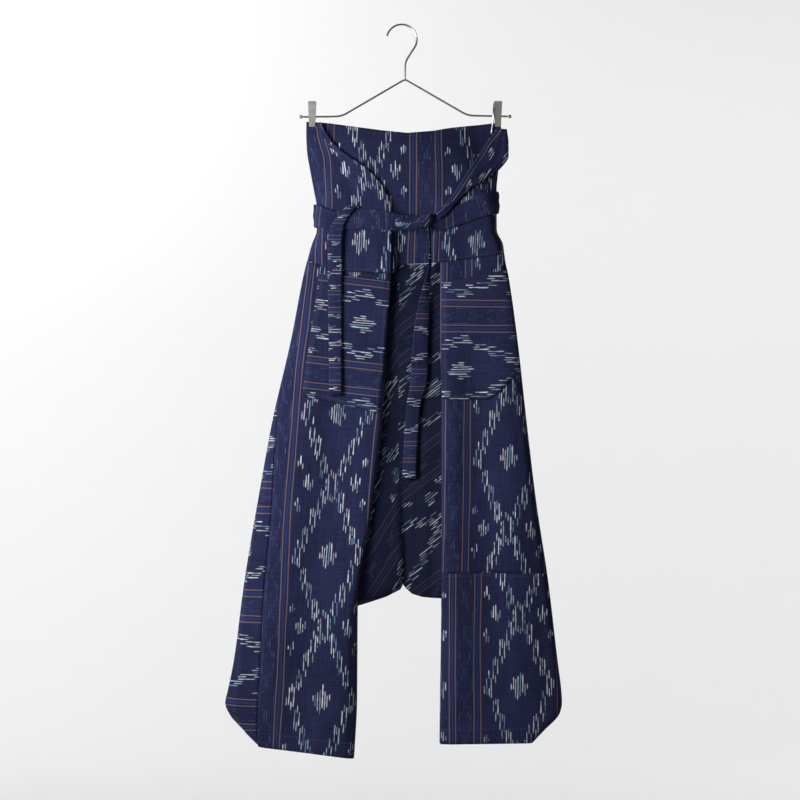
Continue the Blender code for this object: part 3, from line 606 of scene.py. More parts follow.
def front_most(grids, x, drop):
    """The y of the foremost of these sheets' middles at a place, seen from the front."""
    found = []
    for grid in grids:
        a, b, c, d = grid[:-1, :-1], grid[:-1, 1:], grid[1:, 1:], grid[1:, :-1]
        for p, q, r in ((a, b, c), (a, c, d)):
            p, q, r = p.reshape(-1, 3), q.reshape(-1, 3), r.reshape(-1, 3)
            area = (q[:, 0] - p[:, 0]) * (r[:, 2] - p[:, 2]) - (r[:, 0] - p[:, 0]) * (q[:, 2] - p[:, 2])
            area = np.where(np.abs(area) < TINY_AREA, TINY_AREA, area)
            s = ((x - p[:, 0]) * (r[:, 2] - p[:, 2]) - (r[:, 0] - p[:, 0]) * (drop - p[:, 2])) / area
            t = ((q[:, 0] - p[:, 0]) * (drop - p[:, 2]) - (x - p[:, 0]) * (q[:, 2] - p[:, 2])) / area
            inside = (s >= 0) & (t >= 0) & (s + t <= 1)
            found += list((p[:, 1] + s * (q[:, 1] - p[:, 1]) + t * (r[:, 1] - p[:, 1]))[inside])
    return min(found) if found else None


def outside_line(leg, drop, lift):
    """A leg panel's own line at one height, moved out by lift, and run on flat past its inner roll."""
    columns = leg.swapaxes(0, 1)
    line = np.array([[np.interp(drop, column[:, 2], column[:, k]) for k in range(2)] for column in columns])
    edge_x = line[-1, 0]
    line = line[:-POCKET_ROLL_COLUMNS]
    way = np.gradient(line, axis=0)
    normal = np.column_stack([way[:, 1], -way[:, 0]]) / np.linalg.norm(way, axis=1)[:, None]
    normal *= -np.sign(normal[-1, 1])
    line = line + lift * normal
    return np.vstack([line, (edge_x + np.sign(edge_x - line[-1, 0]) * POCKET_RUN_ON, line[-1, 1])])


def pocket_grid(leg, index):
    """A patch on a leg panel, between four corners, with the right one's low corner cut off."""
    corner = {name: POCKETS[name][index] for name in POCKETS}
    grid = []
    for v in np.linspace(0, 1, POCKET_ROWS):
        row = []
        for u in POCKET_COLUMNS:
            top_x = corner["top_left_x"] + u * (corner["top_right_x"] - corner["top_left_x"])
            top = corner["top_left"] + u * (corner["top_right"] - corner["top_left"])
            low_x = corner["low_left_x"] + u * (corner["low_right_x"] - corner["low_left_x"])
            rise = ease((u - POCKET_CUT_FROM) / (1 - POCKET_CUT_FROM)) if index == 1 else u
            low = corner["low_left"] + rise * (corner["low_right"] - corner["low_left"])
            x = top_x + v * (low_x - top_x)
            drop = top + v * (low - top)
            line = outside_line(leg, drop, CLOTH + POCKET_GAP)
            order = np.argsort(line[:, 0])
            row.append((x, np.interp(x, line[order, 0], line[order, 1]), drop))
        grid.append(row)
    return np.array(grid)


def band_path(drop):
    """The waist's outside at one height, all round, moved out to the middle of the band."""
    out = HALF + BAND_GAP + BAND_CLOTH / 2
    left = read(OUTLINE, "left", drop) - out * SIDE_SPREAD + HALF
    right = read(OUTLINE, "right", drop) + out * SIDE_SPREAD - HALF
    run = read(OUTLINE, "side_run", drop)
    depth = read(OUTLINE, "depth", drop) + out
    wrap = depth + 2 * PLEAT_LAYER
    edge = read(WRAP_FOLD, "edge", drop)
    corners = [
        (left, 0),
        (left + run, -depth),
        (edge + WRAP_EDGE_OUT, -wrap),
        (edge + WRAP_RUN_OUT, -depth - WRAP_RUN_OUT_DEPTH),
        (right - run, -depth),
        (right, 0),
        (right - run, depth),
        (left + run, depth),
        (left, 0),
    ]
    return rounded_path(corners, BAND_REACHES, BAND_RUNS, BAND_TURNS)[:-1]


def band_grid():
    middle = band_path(BAND_MIDDLE_DROP)
    grid = []
    for share in (0, 0.5, 1):
        row = []
        for i, (x, _) in enumerate(middle):
            upper = read(BAND_EDGES, "upper", x, by="x")
            drop = upper + share * (read(BAND_EDGES, "lower", x, by="x") - upper)
            row.append((*band_path(drop)[i], drop))
        grid.append(row)
    return np.array(grid)


CREASES = table(
    "side top_drop top_x low_drop low_x rise width",
    (FRONT, 158, -147, 228, -139, 1.3, 4),
    (FRONT, 160, -141, 262, -118, -0.9, 5),
    (FRONT, 164, -136, 236, -104, 0.8, 4),
    (FRONT, 176, -120, 296, -84, 1.1, 5),
    (FRONT, 205, -98, 292, -70, -0.9, 5),
    (FRONT, 170, 138, 262, 116, -1.0, 6),
    (FRONT, 176, 60, 300, 52, 0.8, 9),
    (FRONT, 190, 20, 305, 16, -0.8, 8),
    (FRONT, 178, -30, 262, -12, 0.6, 10),
    (FRONT, 262, -118, 300, -114, 0.9, 4),
    (FRONT, 322, -120, 376, -126, 0.9, 5),
    (FRONT, 324, -72, 372, -66, -0.8, 5),
    (FRONT, 325, -44, 384, -38, 0.8, 4),
    (FRONT, 325, 74, 372, 82, 0.9, 6),
    (FRONT, 318, 118, 366, 124, -0.9, 6),
    (FRONT, 312, 138, 362, 146, 0.8, 5),
    (FRONT, 395, -140, 600, -168, 1.0, 9),
    (FRONT, 610, -150, 760, -118, 0.9, 12),
    (FRONT, 890, -128, 906, -206, 1.1, 7),
    (FRONT, 700, -186, 1010, -206, -0.9, 10),
    (FRONT, 640, -70, 905, -92, -1.0, 9),
    (FRONT, 930, -100, 1140, -92, 0.9, 10),
    (FRONT, 1060, -150, 1140, -140, -0.8, 9),
    (FRONT, 1080, -190, 1136, -196, 0.8, 8),
    (FRONT, 600, 80, 855, 84, 0.8, 9),
    (FRONT, 620, 140, 850, 158, 0.9, 11),
    (FRONT, 868, 92, 1000, 98, -0.8, 10),
    (FRONT, 880, 170, 1110, 182, 1.0, 12),
    (FRONT, 900, 216, 1080, 226, -0.9, 9),
    (FRONT, 1050, 110, 1122, 112, 0.8, 9),
    (FRONT, 620, -44, 800, -46, 0.9, 6),
    (FRONT, 560, 22, 860, 26, -1.0, 8),
    (FRONT, 760, 42, 895, 36, 0.8, 6),
    (BACK, 165, -112, 300, -98, 1.1, 9),
    (BACK, 168, -34, 292, -30, -1.0, 10),
    (BACK, 166, 56, 300, 64, 1.0, 11),
    (BACK, 166, 128, 270, 120, -0.9, 7),
    (BACK, 325, -52, 372, -58, 1.0, 8),
    (BACK, 325, 44, 372, 50, -0.9, 9),
    (BACK, 395, -80, 700, -120, 1.0, 12),
    (BACK, 560, -150, 860, -190, -1.0, 12),
    (BACK, 880, -100, 1140, -108, 0.9, 12),
    (BACK, 700, -200, 1060, -236, 0.9, 10),
    (BACK, 420, 84, 760, 90, 1.0, 11),
    (BACK, 640, 158, 1000, 190, -1.0, 13),
    (BACK, 880, 96, 1120, 100, 0.9, 11),
    (BACK, 560, -8, 860, -30, 1.0, 10),
    (BACK, 600, 38, 880, 34, -0.9, 9),
)

REPEAT_ACROSS = 170.0
REPEAT_ALONG = 224.0
STRIPES_AT = 65.0
STRIPE_SPREAD = 5.0
THREAD_PITCH = 3.5
LATTICE = {
    0: ((0, 18), (88, 98)),
    1: ((0, 14), (92, 112)),
    2: ((0, 9), (84, 94), (103, 110)),
    3: ((0, 4), (72, 98)),
    4: ((62, 76), (92, 104)),
    5: ((70, 95),),
    6: ((46, 72),),
    7: ((39, 50), (64, 77)),
    8: ((44, 69), (106, 112)),
    9: ((20, 45), (106, 112)),
    10: ((12, 23), (38, 51), (100, 112)),
    11: ((17, 42), (103, 112)),
    12: ((0, 15), (107, 112)),
    13: ((8, 20), (76, 85)),
    14: ((0, 13), (72, 86)),
    15: ((0, 6), (76, 84)),
}
BLUE_DASHES = {
    0: ((18, 34),),
    1: ((12, 17), (36, 42)),
    2: ((42, 52),),
    3: ((0, 13),),
}
BLUE_REPEAT_ALONG = 112.0
YARN_HALF = 0.85
YARN_SOFTNESS = 0.3
DASH_SLIP = 12.0
DASH_BUNDLES = 60
DASH_ROWS = 4
WANDER = 5.0
WANDER_SCALES = (0.02, 0.006)
PATCH_NOISE = (0.22, 0.05, 1)
PATCH_CONTRAST = (2.2, -0.35)
PATCH_STRENGTH = (0.55, 0.45)
CHANCE_STRENGTH = (0.6, 0.4)
THINNING_NOISE = (0.3, 0.09, 1)
THINNING = (1.5, -0.6)
BROWN_LINE = (0.75, 0.35)
BLUE_LINE = (1.9, 0.5)
TEAL_SHIFT = 7
TEAL_DASHES = (0.3, 0.12)
FEATHER_START = 1
FEATHER_END = 1.5
FEATHER_MARGIN = 1.2
SAME_COLUMN = 0.4
FADED_NOISE = (0.012, 0.009, 3)
WARP_NOISE = (0.7, 0.02, 3)
WEFT_NOISE = (0.03, 0.6, 3)
FADED_SHARE = 0.7
WARP_SHARE = 0.9
WEFT_SHARE = 0.7
TONE_START = 0.72
WARP_PITCH = 1.0
WEFT_PITCH = 0.95
WORN = (0.12, 0.86)
WEAVE_HEIGHT = 0.5
WARP_HEIGHT = 1.2
DASH_HEIGHT = 0.5
COTTON_BUMP = (0.5, 0.0003)
COTTON = {
    "dark": (0.0060, 0.0068, 0.023),
    "light": (0.022, 0.0245, 0.074),
    "white": (0.60, 0.63, 0.68),
    "teal": (0.14, 0.27, 0.36),
    "blue": (0.030, 0.062, 0.120),
    "brown": (0.125, 0.085, 0.085),
    "stripe": (0.017, 0.023, 0.080),
}
COTTON_FINISH = {
    "Roughness": 0.86,
    "Sheen Weight": 0.05,
    "Sheen Roughness": 0.5,
    "Sheen Tint": (0.55, 0.62, 0.9, 1),
    "Specular IOR Level": 0.07,
}
SMUDGE_SCALE = 90
SMUDGE_DETAIL = 4
SMUDGE_GLOSS = 0.15
SMUDGE_SHADE = 0.82
SCRATCH_SCALE = 1400
METAL_BUMP = (0.15, 0.0001)
THREAD_COLOUR = (0.05, 0.055, 0.13)
YARN_ROUGHNESS = 0.7
YARN_SHADE = 0.6
YARN_SCALE = 300

FLAP_GRAIN = table("drop x", (150, -70), (236, -54), (292, -50), (324, -66), (371, -67))
UNDER_GRAIN = table("drop x", (150, -48.5), (392, -48.5))
LEFT_GRAIN = table("drop x", (371, -76), (453, -85), (590, -101), (834, -118), (1048, -127.6), (1155, -134))
RIGHT_GRAIN = table("drop x", (361, 168), (590, 166.5), (861, 161.7))
RIGHT_LOWER_GRAIN = table("drop x", (861, 182), (1160, 181.5))
WAIST_MIDDLE_DROP = 344.0
LEFT_MIDDLE_DROP = 834.0
RIGHT_MIDDLE_DROP = 681.0
RIGHT_LOWER_MIDDLE_DROP = 1038.6
BACK_GRAIN_RISE = 70
STRIP_MIDDLE = (-215, 828.0, 2)
POCKET_MIDDLES = ((-61.4, 471.7, 6.5), (91.4, 544.0, 0.0))
GUSSET_GRAIN = ((57, 0.0, 40.0), (38, 30.0, 90.0))
GUSSET_ROWS = 70
GUSSET_STEP_ROW = 40
UNDER_COLUMNS_ON = 3
LEFT_BACK_COLUMNS = 5
RIGHT_PANELS = ((FRONT, "front", 7, below_yoke), (BACK, "back", 4, below_back_yoke))
HEM = 23.0
HEM_STEP = 0.45
HEM_TURN = 3
BELT_ROWS = 13
BELT_WALL = 1.8
BELT_SHIFT = (120, 200)
BELT_EDGE_TURN = 1.0
BELT_EDGE_FALL = 3
BELT_CREASE = 0.55
BELT_CREASES = 1.9
BELT_FADE = 4
BELT_SWAY = ((0.35, 31, 0), (0.3, 13, 1.7))
TIE_WALL = 1.1
TIE_ROWS = 40
TIE_COLUMNS = 17
TIE_THREADS = 1.5
TIE_PUFF = 1.8
TIE_ROUNDNESS = 0.7
TIE_CREASE = 0.5
TIE_CREASES = 2.6
TIE_SWAY = ((0.2, 6), (0.12, 2.7))
RIGHT_TIE_SHIFT = (66.0, 34.0)
LEFT_TIE_SHIFT = (10.0, 70.0)
CENTRE_TIE_SHIFT = (60.0, 30.0)
STRIP_ROWS = 60
STRIP_COLUMNS = 9
STRIP_RUN_COLUMN = 3
STRIP_DENT = 0.5
DENT_SWAY = 0.6
DENT_ROWS = 5
DENT_START = 12
KNOT_ROWS = 48
KNOT_SIDES = 40
KNOT_RIDGE = 0.045
KNOT_RIDGES = 5
KNOT_RIDGE_LEAN = 0.2
KNOT_ACROSS = (0.8, 7)
KNOT_ALONG = (0.4, 10, 4)
STITCH_STEP = 3.4
STITCH_GAP = 0.7
STITCH_HALF = 0.38
STITCH_RISE = 1.3
POCKET_STITCH_INSETS = (4, 6.5)
YOKE_STITCH_SPANS = ((-118, -22), (60, 150))
YOKE_STITCH_RISE = 3.5
LEFT_HEM_SPAN = (-222, -82)
RIGHT_HEM_SPAN = (62, 212)
JOIN_SPAN = (62, 218)
SEAM_STITCH_OUT = 4
STRIP_STITCH_DROPS = (600, 1130)
EDGE_LINE_POINTS = 9
CLIP_TURNS = (("left", -143, 0.0), ("right", 149.5, 1.4))
CLIP_SIDE = table(
    "drop forward half_width",
    (123, 8.4, 6.2),
    (128, 6.6, 6.1),
    (134, 5.2, 5.9),
    (142, 4.4, 5.5),
)
CLIP_FOOT_DROP = 153.0
FLANGE_DEPTH = 3.2
FLANGE_INSET = 0.3
FLANGE_NEAREST = 1.0
FLANGE_WALL = 0.5
SIDE_PLATE = table(
    "x drop",
    (142.6, 130),
    (142.2, 140),
    (141.6, 150),
    (140.8, 156),
    (139.8, 164),
    (138.8, 172),
)
SIDE_PLATE_HALF = 1.3
SIDE_PLATE_REST = 3.0
SIDE_PLATE_OUT = 2.6
SIDE_PLATE_LEAN = 0.8
SIDE_PLATE_FULL = 12
SIDE_PLATE_TAPER = 0.6
SIDE_PLATE_WALL = 0.6

VIEW_DISTANCE = 3.3
PHOTO_WIDTH = 1.26
PHOTO_CENTRE = (-0.0047, -0.590)
SENSOR_WIDTH = 36
FLOOR_DROP = 1.75
FLOOR_IN_FRONT = 9
BACKDROP_BEHIND = 5.2
BACKDROP_TOP = 7
BACKDROP_HALF = 12
SWEEP_RADIUS = 1.5
SWEEP_STEPS = 12
PAPER = (0.84, 0.84, 0.84)
ROOM_COLOUR = (0.95, 0.96, 1.0)
ROOM_LIGHT = 0.2
LIGHTS = (
    ("window", (-0.95, -0.75, -0.35), (-0.05, 0, -0.55), 0.7, 29),
    ("wall_wash_left", (-2.8, 2.4, 1.7), (-1.0, 5.2, 0.8), 2.0, 125),
    ("wall_wash_right", (2.6, 2.2, 0.6), (1.2, 5.2, -0.6), 2.0, 52),
)


def shell_moved(grid):
    """The grid with the open mouth, the soft folds and the small creases added."""
    moved = grid.copy()
    x, y, drop = (moved[..., k] for k in range(3))
    out = np.zeros_like(x)
    sides = np.where(y < 0, FRONT, BACK)
    for source in (FOLDS, CREASES):
        for side, top, top_x, low, low_x, rise, width in zip(*source.values()):
            share = (drop - top) / (low - top)
            centre = top_x + share * (low_x - top_x)
            fade = ease(share / FOLD_FADE) * ease((1 - share) / FOLD_FADE)
            out += (sides == side) * rise * fade * np.exp(-(((x - centre) / width) ** 2))
    out *= ease(np.abs(y) / FOLD_FULL_DEPTH)
    slack = [waist_slack(a, b) for a, b in zip(x.ravel(), drop.ravel())]
    moved[..., 1] = y + sides * (out + np.reshape(slack, x.shape))
    return moved


def fine_shares(drops):
    """Rows no more than about FINE_ROW apart, through every drop of the table."""
    shares = []
    for a, b in zip(drops, drops[1:]):
        count = max(1, math.ceil((b - a) / FINE_ROW))
        shares += [(a + (b - a) * k / count - drops[0]) / (drops[-1] - drops[0]) for k in range(count)]
    return shares + [1.0]


def refined(grid):
    """The grid with more columns, so that no step across is longer than FINE_COLUMN."""
    gaps = np.linalg.norm(np.diff(grid, axis=1), axis=2).max(axis=0)
    columns = []
    for c, gap in enumerate(gaps):
        count = max(1, math.ceil(gap / FINE_COLUMN))
        columns += [grid[:, c] * (1 - k / count) + grid[:, c + 1] * k / count for k in range(count)]
    return np.stack(columns + [grid[:, -1]], axis=1)


def fine_panel(section, drops, upper, lower):
    return refined(grid_of(section, fine_shares(drops), upper, lower))


def line_at(source, drops):
    return np.array([read(source, "x", drop) for drop in drops])


def along_rows(grid):
    """How far along its own row's cloth each point lies from the row's first point."""
    steps = np.linalg.norm(np.diff(grid[..., :2], axis=1), axis=2)
    return np.concatenate([np.zeros((len(grid), 1)), np.cumsum(steps, axis=1)], axis=1)


def grain_from(grid, column, line, middle_drop):
    """Across and along for each point: across is measured round the cloth from a grain line."""
    along = along_rows(grid)
    way = 1 if grid[0, -1, 0] > grid[0, 0, 0] else -1
    across = way * (along - along[:, column, None]) + grid[:, column, 0, None]
    across = across - line_at(line, grid[:, column, 2])[:, None]
    return np.stack([across, grid[..., 2] - middle_drop], axis=-1)


def turned_grain(grid, middle_x, middle_drop, tilt):
    """Across and along where the cloth is turned a quarter turn, and tilted by some degrees."""
    lean = math.tan(math.radians(tilt))
    along = along_rows(grid)
    flat_x = grid[..., 0]
    across = grid[..., 2] - middle_drop - lean * (flat_x - middle_x)
    way = 1 if grid[0, -1, 0] > grid[0, 0, 0] else -1
    centre = len(along[0]) // 2
    run = way * (along - along[:, centre, None]) + flat_x[:, centre, None] - middle_x
    return np.stack([across, run], axis=-1)


def bias_grain(grid, angle, shift_across, shift_along):
    """Across and along where the dashes rise to the right at an angle from level."""
    turn = math.radians(angle)
    x, z = grid[..., 0], -grid[..., 2]
    along = x * math.cos(turn) + z * math.sin(turn) + shift_along
    across = x * math.sin(turn) - z * math.cos(turn) + shift_across
    return np.stack([across, along], axis=-1)


def add_piece(name, points, faces, finish, uvs=None, smooth=True, wall=None, node=None):
    """A piece of the garment from points given as x, y and drop, with its looks, wall and body."""
    mesh = bpy.data.meshes.new(name)
    mesh.from_pydata([(x * MM, y * MM, -drop * MM) for x, y, drop in points], [], faces)
    if uvs is not None:
        layer = mesh.uv_layers.new(name="grain")
        layer.data.foreach_set("uv", np.array(uvs, np.float32).ravel())
    mesh.update()
    if smooth:
        mesh.shade_smooth()
    mesh.materials.append(finish)
    piece = bpy.data.objects.new(name, mesh)
    bpy.context.scene.collection.objects.link(piece)
    if wall:
        shell = piece.modifiers.new("wall", "SOLIDIFY")
        shell.thickness = wall * MM
        shell.offset = 0
    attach(piece, "root")
    if node:
        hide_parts(node)
    return piece


def add_cloth(node, grid, grains, finish, wall=THIN_CLOTH, closed=False):
    """A thin shell whose middle runs through the grid, with its grain as a UV layer.

    grains lists (first column, across and along) for the stretches that are cut or folded apart.
    """
    rows, columns = grid.shape[:2]
    faces = []
    uvs = []
    for r in range(rows - 1):
        for c in range(columns if closed else columns - 1):
            after = (c + 1) % columns
            corners = ((r, c), (r + 1, c), (r + 1, after), (r, after))
            faces.append([row * columns + column for row, column in corners])
            grain = [g for first, g in grains if c >= first][-1]
            uvs += [grain[row, column] for row, column in corners]
    points = grid.reshape(-1, 3)
    piece = add_piece(f"cloth_{node}", points, faces, finish, uvs, wall=wall, node=node)


class Value:
    """A number that flows between shader nodes, so that a pattern reads as plain arithmetic."""

    def __init__(self, tree, socket):
        self.tree = tree
        self.socket = socket

    def math(self, operation, *others, clamp=False):
        node = self.tree.nodes.new("ShaderNodeMath")
        node.operation = operation
        node.use_clamp = clamp
        for place, value in zip(node.inputs, (self, *others)):
            if isinstance(value, Value):
                self.tree.links.new(value.socket, place)
            else:
                place.default_value = value
        return Value(self.tree, node.outputs[0])

    def __add__(self, other):
        return self.math("ADD", other)

    def __sub__(self, other):
        return self.math("SUBTRACT", other)

    def __mul__(self, other):
        return self.math("MULTIPLY", other)

    def size(self):
        return self.math("ABSOLUTE")

    def nearest(self):
        return self.math("ROUND")

    def is_near(self, number, reach):
        return self.math("COMPARE", number, reach)

    def below(self, edge, softness):
        """1 where the value is under the edge, easing to 0 over the softness."""
        node = self.tree.nodes.new("ShaderNodeMapRange")
        node.interpolation_type = "SMOOTHSTEP"
        self.tree.links.new(self.socket, node.inputs["Value"])
        node.inputs["From Min"].default_value = edge - softness
        node.inputs["From Max"].default_value = edge + softness
        node.inputs["To Min"].default_value = 1
        node.inputs["To Max"].default_value = 0
        return Value(self.tree, node.outputs["Result"])


def noise(tree, across, along, scale_across, scale_along, detail=2.0):
    """Smooth noise from 0 to 1, stretched by its two scales, in repeats a millimetre."""
    place = tree.nodes.new("ShaderNodeCombineXYZ")
    tree.links.new((across * scale_across).socket, place.inputs["X"])
    tree.links.new((along * scale_along).socket, place.inputs["Y"])
    node = tree.nodes.new("ShaderNodeTexNoise")
    node.noise_dimensions = "2D"
    node.inputs["Scale"].default_value = 1
    node.inputs["Detail"].default_value = detail
    tree.links.new(place.outputs[0], node.inputs["Vector"])
    return Value(tree, node.outputs[0])


def scatter(tree, column, row):
    """One fixed chance value from 0 to 1 for each whole-number place."""
    place = tree.nodes.new("ShaderNodeCombineXYZ")
    tree.links.new(column.socket, place.inputs["X"])
    tree.links.new(row.socket, place.inputs["Y"])
    node = tree.nodes.new("ShaderNodeTexWhiteNoise")
    node.noise_dimensions = "2D"
    tree.links.new(place.outputs[0], node.inputs["Vector"])
    return Value(tree, node.outputs["Value"])


def chart_column(tree, along, spans, longest):
    """1 inside the spans of one charted column and 0 outside, with feathered ends."""
    ramp = tree.nodes.new("ShaderNodeValToRGB")
    ramp.color_ramp.elements[0].color = (1, 1, 1, 1) if spans[0][0] == 0 else (0, 0, 0, 1)
    ramp.color_ramp.elements[1].color = (1, 1, 1, 1) if spans[-1][1] == longest else (0, 0, 0, 1)
    for start, end in spans:
        for place, shade in (
            (start - FEATHER_START, 0),
            (start + FEATHER_START, 1),
            (end - FEATHER_END, 1),
            (end + FEATHER_END, 0),
        ):
            if FEATHER_MARGIN < place < longest - FEATHER_MARGIN:
                ramp.color_ramp.elements.new(place / longest).color = (shade, shade, shade, 1)
    tree.links.new((along * (1 / longest)).socket, ramp.inputs["Fac"])
    return Value(tree, ramp.outputs["Color"])


def charted(tree, chart, column, along, longest):
    """Reads a chart of dashes: the column's own spans, along the cloth."""
    total = None
    for number, spans in chart.items():
        here = chart_column(tree, along, spans, longest) * column.is_near(number, SAME_COLUMN)
        total = here if total is None else total + here
    return total


def charted_threads(tree, chart, distance, along, longest, thinning):
    """The chart read on both sides of its middle line, each column one thin bundle of yarn."""
    column = (distance * (1 / THREAD_PITCH)).math("FLOOR")
    off_thread = (distance - (column + 0.5) * THREAD_PITCH).size() + thinning
    return charted(tree, chart, column, along, longest) * off_thread.below(YARN_HALF, YARN_SOFTNESS)


def ikat_masks(tree, across, along):
    """How much white, blue-dash, brown-stripe and blue-stripe yarn shows at each place."""
    wander = (noise(tree, across, along, *WANDER_SCALES) - 0.5) * WANDER
    turned = (across + wander).math("WRAP", REPEAT_ACROSS / 2, -REPEAT_ACROSS / 2)
    repeat = (across * (1 / REPEAT_ACROSS)).nearest()
    bundle = (turned * (1 / THREAD_PITCH)).math("FLOOR") + repeat * DASH_BUNDLES
    row = (along * (DASH_ROWS / REPEAT_ALONG)).nearest()
    chance = scatter(tree, bundle, row)
    slipped = along + (chance - 0.5) * DASH_SLIP
    patchy = noise(tree, across, along, *PATCH_NOISE).math("MULTIPLY_ADD", *PATCH_CONTRAST, clamp=True)
    strength = chance.math("MULTIPLY_ADD", *CHANCE_STRENGTH) * patchy.math("MULTIPLY_ADD", *PATCH_STRENGTH)
    distance = turned.size()
    thinning = noise(tree, across, along, *THINNING_NOISE).math("MULTIPLY_ADD", *THINNING)
    half = REPEAT_ALONG / 2
    white = charted_threads(tree, LATTICE, distance, slipped.math("PINGPONG", half), half, thinning)
    from_blue = distance.math("MULTIPLY_ADD", -1, REPEAT_ACROSS / 2)
    half = BLUE_REPEAT_ALONG / 2
    blue = charted_threads(tree, BLUE_DASHES, from_blue, slipped.math("PINGPONG", half), half, thinning)
    from_stripes = (distance - STRIPES_AT).size()
    brown = (from_stripes - STRIPE_SPREAD).size().below(*BROWN_LINE)
    blue_line = from_stripes.below(*BLUE_LINE)
    tint = scatter(tree, bundle + TEAL_SHIFT, row).below(*TEAL_DASHES)
    return white * strength, blue * strength, brown, blue_line, tint


def mixed(tree, share, first, second):
    """A colour between two: share 0 gives the first and share 1 the second."""
    node = tree.nodes.new("ShaderNodeMix")
    node.data_type = "RGBA"
    tree.links.new(share.socket, node.inputs["Factor"])
    for value, place in ((first, node.inputs["A"]), (second, node.inputs["B"])):
        if isinstance(value, tuple):
            place.default_value = (*value, 1)
        else:
            tree.links.new(value, place)
    return node.outputs["Result"]


def textured(tree, scale, detail=2.0, where=None):
    """Noise from 0 to 1 over a piece, in its own generated space or in the given one."""
    node = tree.nodes.new("ShaderNodeTexNoise")
    node.inputs["Scale"].default_value = scale
    node.inputs["Detail"].default_value = detail
    if where:
        tree.links.new(where, node.inputs["Vector"])
    return Value(tree, node.outputs[0])


def plain(name, colour, roughness=0.9):
    made = bpy.data.materials.new(name)
    made.use_nodes = True
    shader = made.node_tree.nodes["Principled BSDF"]
    shader.inputs["Base Color"].default_value = (*colour, 1)
    shader.inputs["Roughness"].default_value = roughness
    return made


def roughened(tree, shader, height, strength, distance):
    bump = tree.nodes.new("ShaderNodeBump")
    bump.inputs["Strength"].default_value = strength
    bump.inputs["Distance"].default_value = distance
    tree.links.new(height.socket, bump.inputs["Height"])
    tree.links.new(bump.outputs[0], shader.inputs["Normal"])


def cotton(name, dashes=1.0, stripes=1.0, shade=1.0):
    """Plain-woven indigo cotton with tied-and-dyed dashes, thin stripes, slubs and faded patches, its ground
    darkened all over by shade, which is painted shade where a piece lies in a recess.
    """
    made = plain(name, COTTON["dark"])
    tree = made.node_tree
    shader = tree.nodes["Principled BSDF"]
    place = tree.nodes.new("ShaderNodeUVMap")
    place.uv_map = "grain"
    split = tree.nodes.new("ShaderNodeSeparateXYZ")
    tree.links.new(place.outputs[0], split.inputs[0])
    across = Value(tree, split.outputs["X"])
    along = Value(tree, split.outputs["Y"])
    white, blue, brown, blue_line, tint = ikat_masks(tree, across, along)

    faded = noise(tree, across, along, *FADED_NOISE)
    warp = noise(tree, across, along, *WARP_NOISE)
    weft = noise(tree, across, along, *WEFT_NOISE)
    slubs = faded * FADED_SHARE + warp * WARP_SHARE + weft * WEFT_SHARE
    tone = slubs.math("SUBTRACT", TONE_START, clamp=True)
    # Below 1, shade darkens the dark and light ground tones together: painted shade of a recess, on top of
    # any darker dye of the piece itself.
    dark = tuple(c * shade for c in COTTON["dark"])
    light = tuple(c * shade for c in COTTON["light"])
    colour = mixed(tree, tone, dark, light)
    weft_over = (along * (2 * math.pi / WEFT_PITCH)).math("SINE")
    worn = weft_over.math("MULTIPLY_ADD", *WORN)
    pale = mixed(tree, tint, COTTON["white"], COTTON["teal"])
    for mask, dyed in ((blue_line, COTTON["stripe"]), (brown, COTTON["brown"])):
        colour = mixed(tree, mask * worn * stripes, colour, dyed)
    for mask, dyed in ((blue, COTTON["blue"]), (white, pale)):
        colour = mixed(tree, mask * worn * dashes, colour, dyed)
    tree.links.new(colour, shader.inputs["Base Color"])
    for quality, value in COTTON_FINISH.items():
        shader.inputs[quality].default_value = value

    warp_over = (across * (2 * math.pi / WARP_PITCH)).math("SINE")
    height = warp_over * weft_over * WEAVE_HEIGHT + warp * WARP_HEIGHT + weft + white * DASH_HEIGHT
    roughened(tree, shader, height, *COTTON_BUMP)
    return made


def metal(name, colour, roughness):
    """Plated metal with fine scratches and faint smudges in its gloss."""
    made = plain(name, colour)
    tree = made.node_tree
    shader = tree.nodes["Principled BSDF"]
    place = tree.nodes.new("ShaderNodeTexCoord").outputs["Object"]
    smudge = textured(tree, SMUDGE_SCALE, SMUDGE_DETAIL, place)
    gloss = smudge.math("MULTIPLY_ADD", SMUDGE_GLOSS, roughness)
    tree.links.new(gloss.socket, shader.inputs["Roughness"])
    darker = tuple(c * SMUDGE_SHADE for c in colour)
    tree.links.new(mixed(tree, smudge, darker, colour), shader.inputs["Base Color"])
    shader.inputs["Metallic"].default_value = 1
    roughened(tree, shader, textured(tree, SCRATCH_SCALE, where=place), *METAL_BUMP)
    return made


def yarn(name, colour):
    """Matt sewing thread, a little darker in places."""
    made = plain(name, colour, YARN_ROUGHNESS)
    tree = made.node_tree
    darker = tuple(c * YARN_SHADE for c in colour)
    base = tree.nodes["Principled BSDF"].inputs["Base Color"]
    tree.links.new(mixed(tree, textured(tree, YARN_SCALE), darker, colour), base)
    return made


def build_waist(finish):
    front = shell_moved(fine_panel(waist_front_section, WAIST_DROPS, top_edge, yoke))
    middle = np.diff(front[len(front) // 2, :, 0])
    turn = int(np.argmax(middle < 0))
    after = turn + int(np.argmax(middle[turn:] > 0)) + UNDER_COLUMNS_ON
    flap = grain_from(front, turn * 2 // 3, FLAP_GRAIN, WAIST_MIDDLE_DROP)
    under = grain_from(front, after, UNDER_GRAIN, WAIST_MIDDLE_DROP)
    add_cloth("waist_front", front, [(0, flap), (turn, under)], finish)
    back = shell_moved(fine_panel(waist_back_section, WAIST_BACK_DROPS, top_edge, back_yoke))
    grain = grain_from(back, back.shape[1] // 2, UNDER_GRAIN, WAIST_MIDDLE_DROP - BACK_GRAIN_RISE)
    add_cloth("waist_back", back, [(0, grain)], finish)
    return front


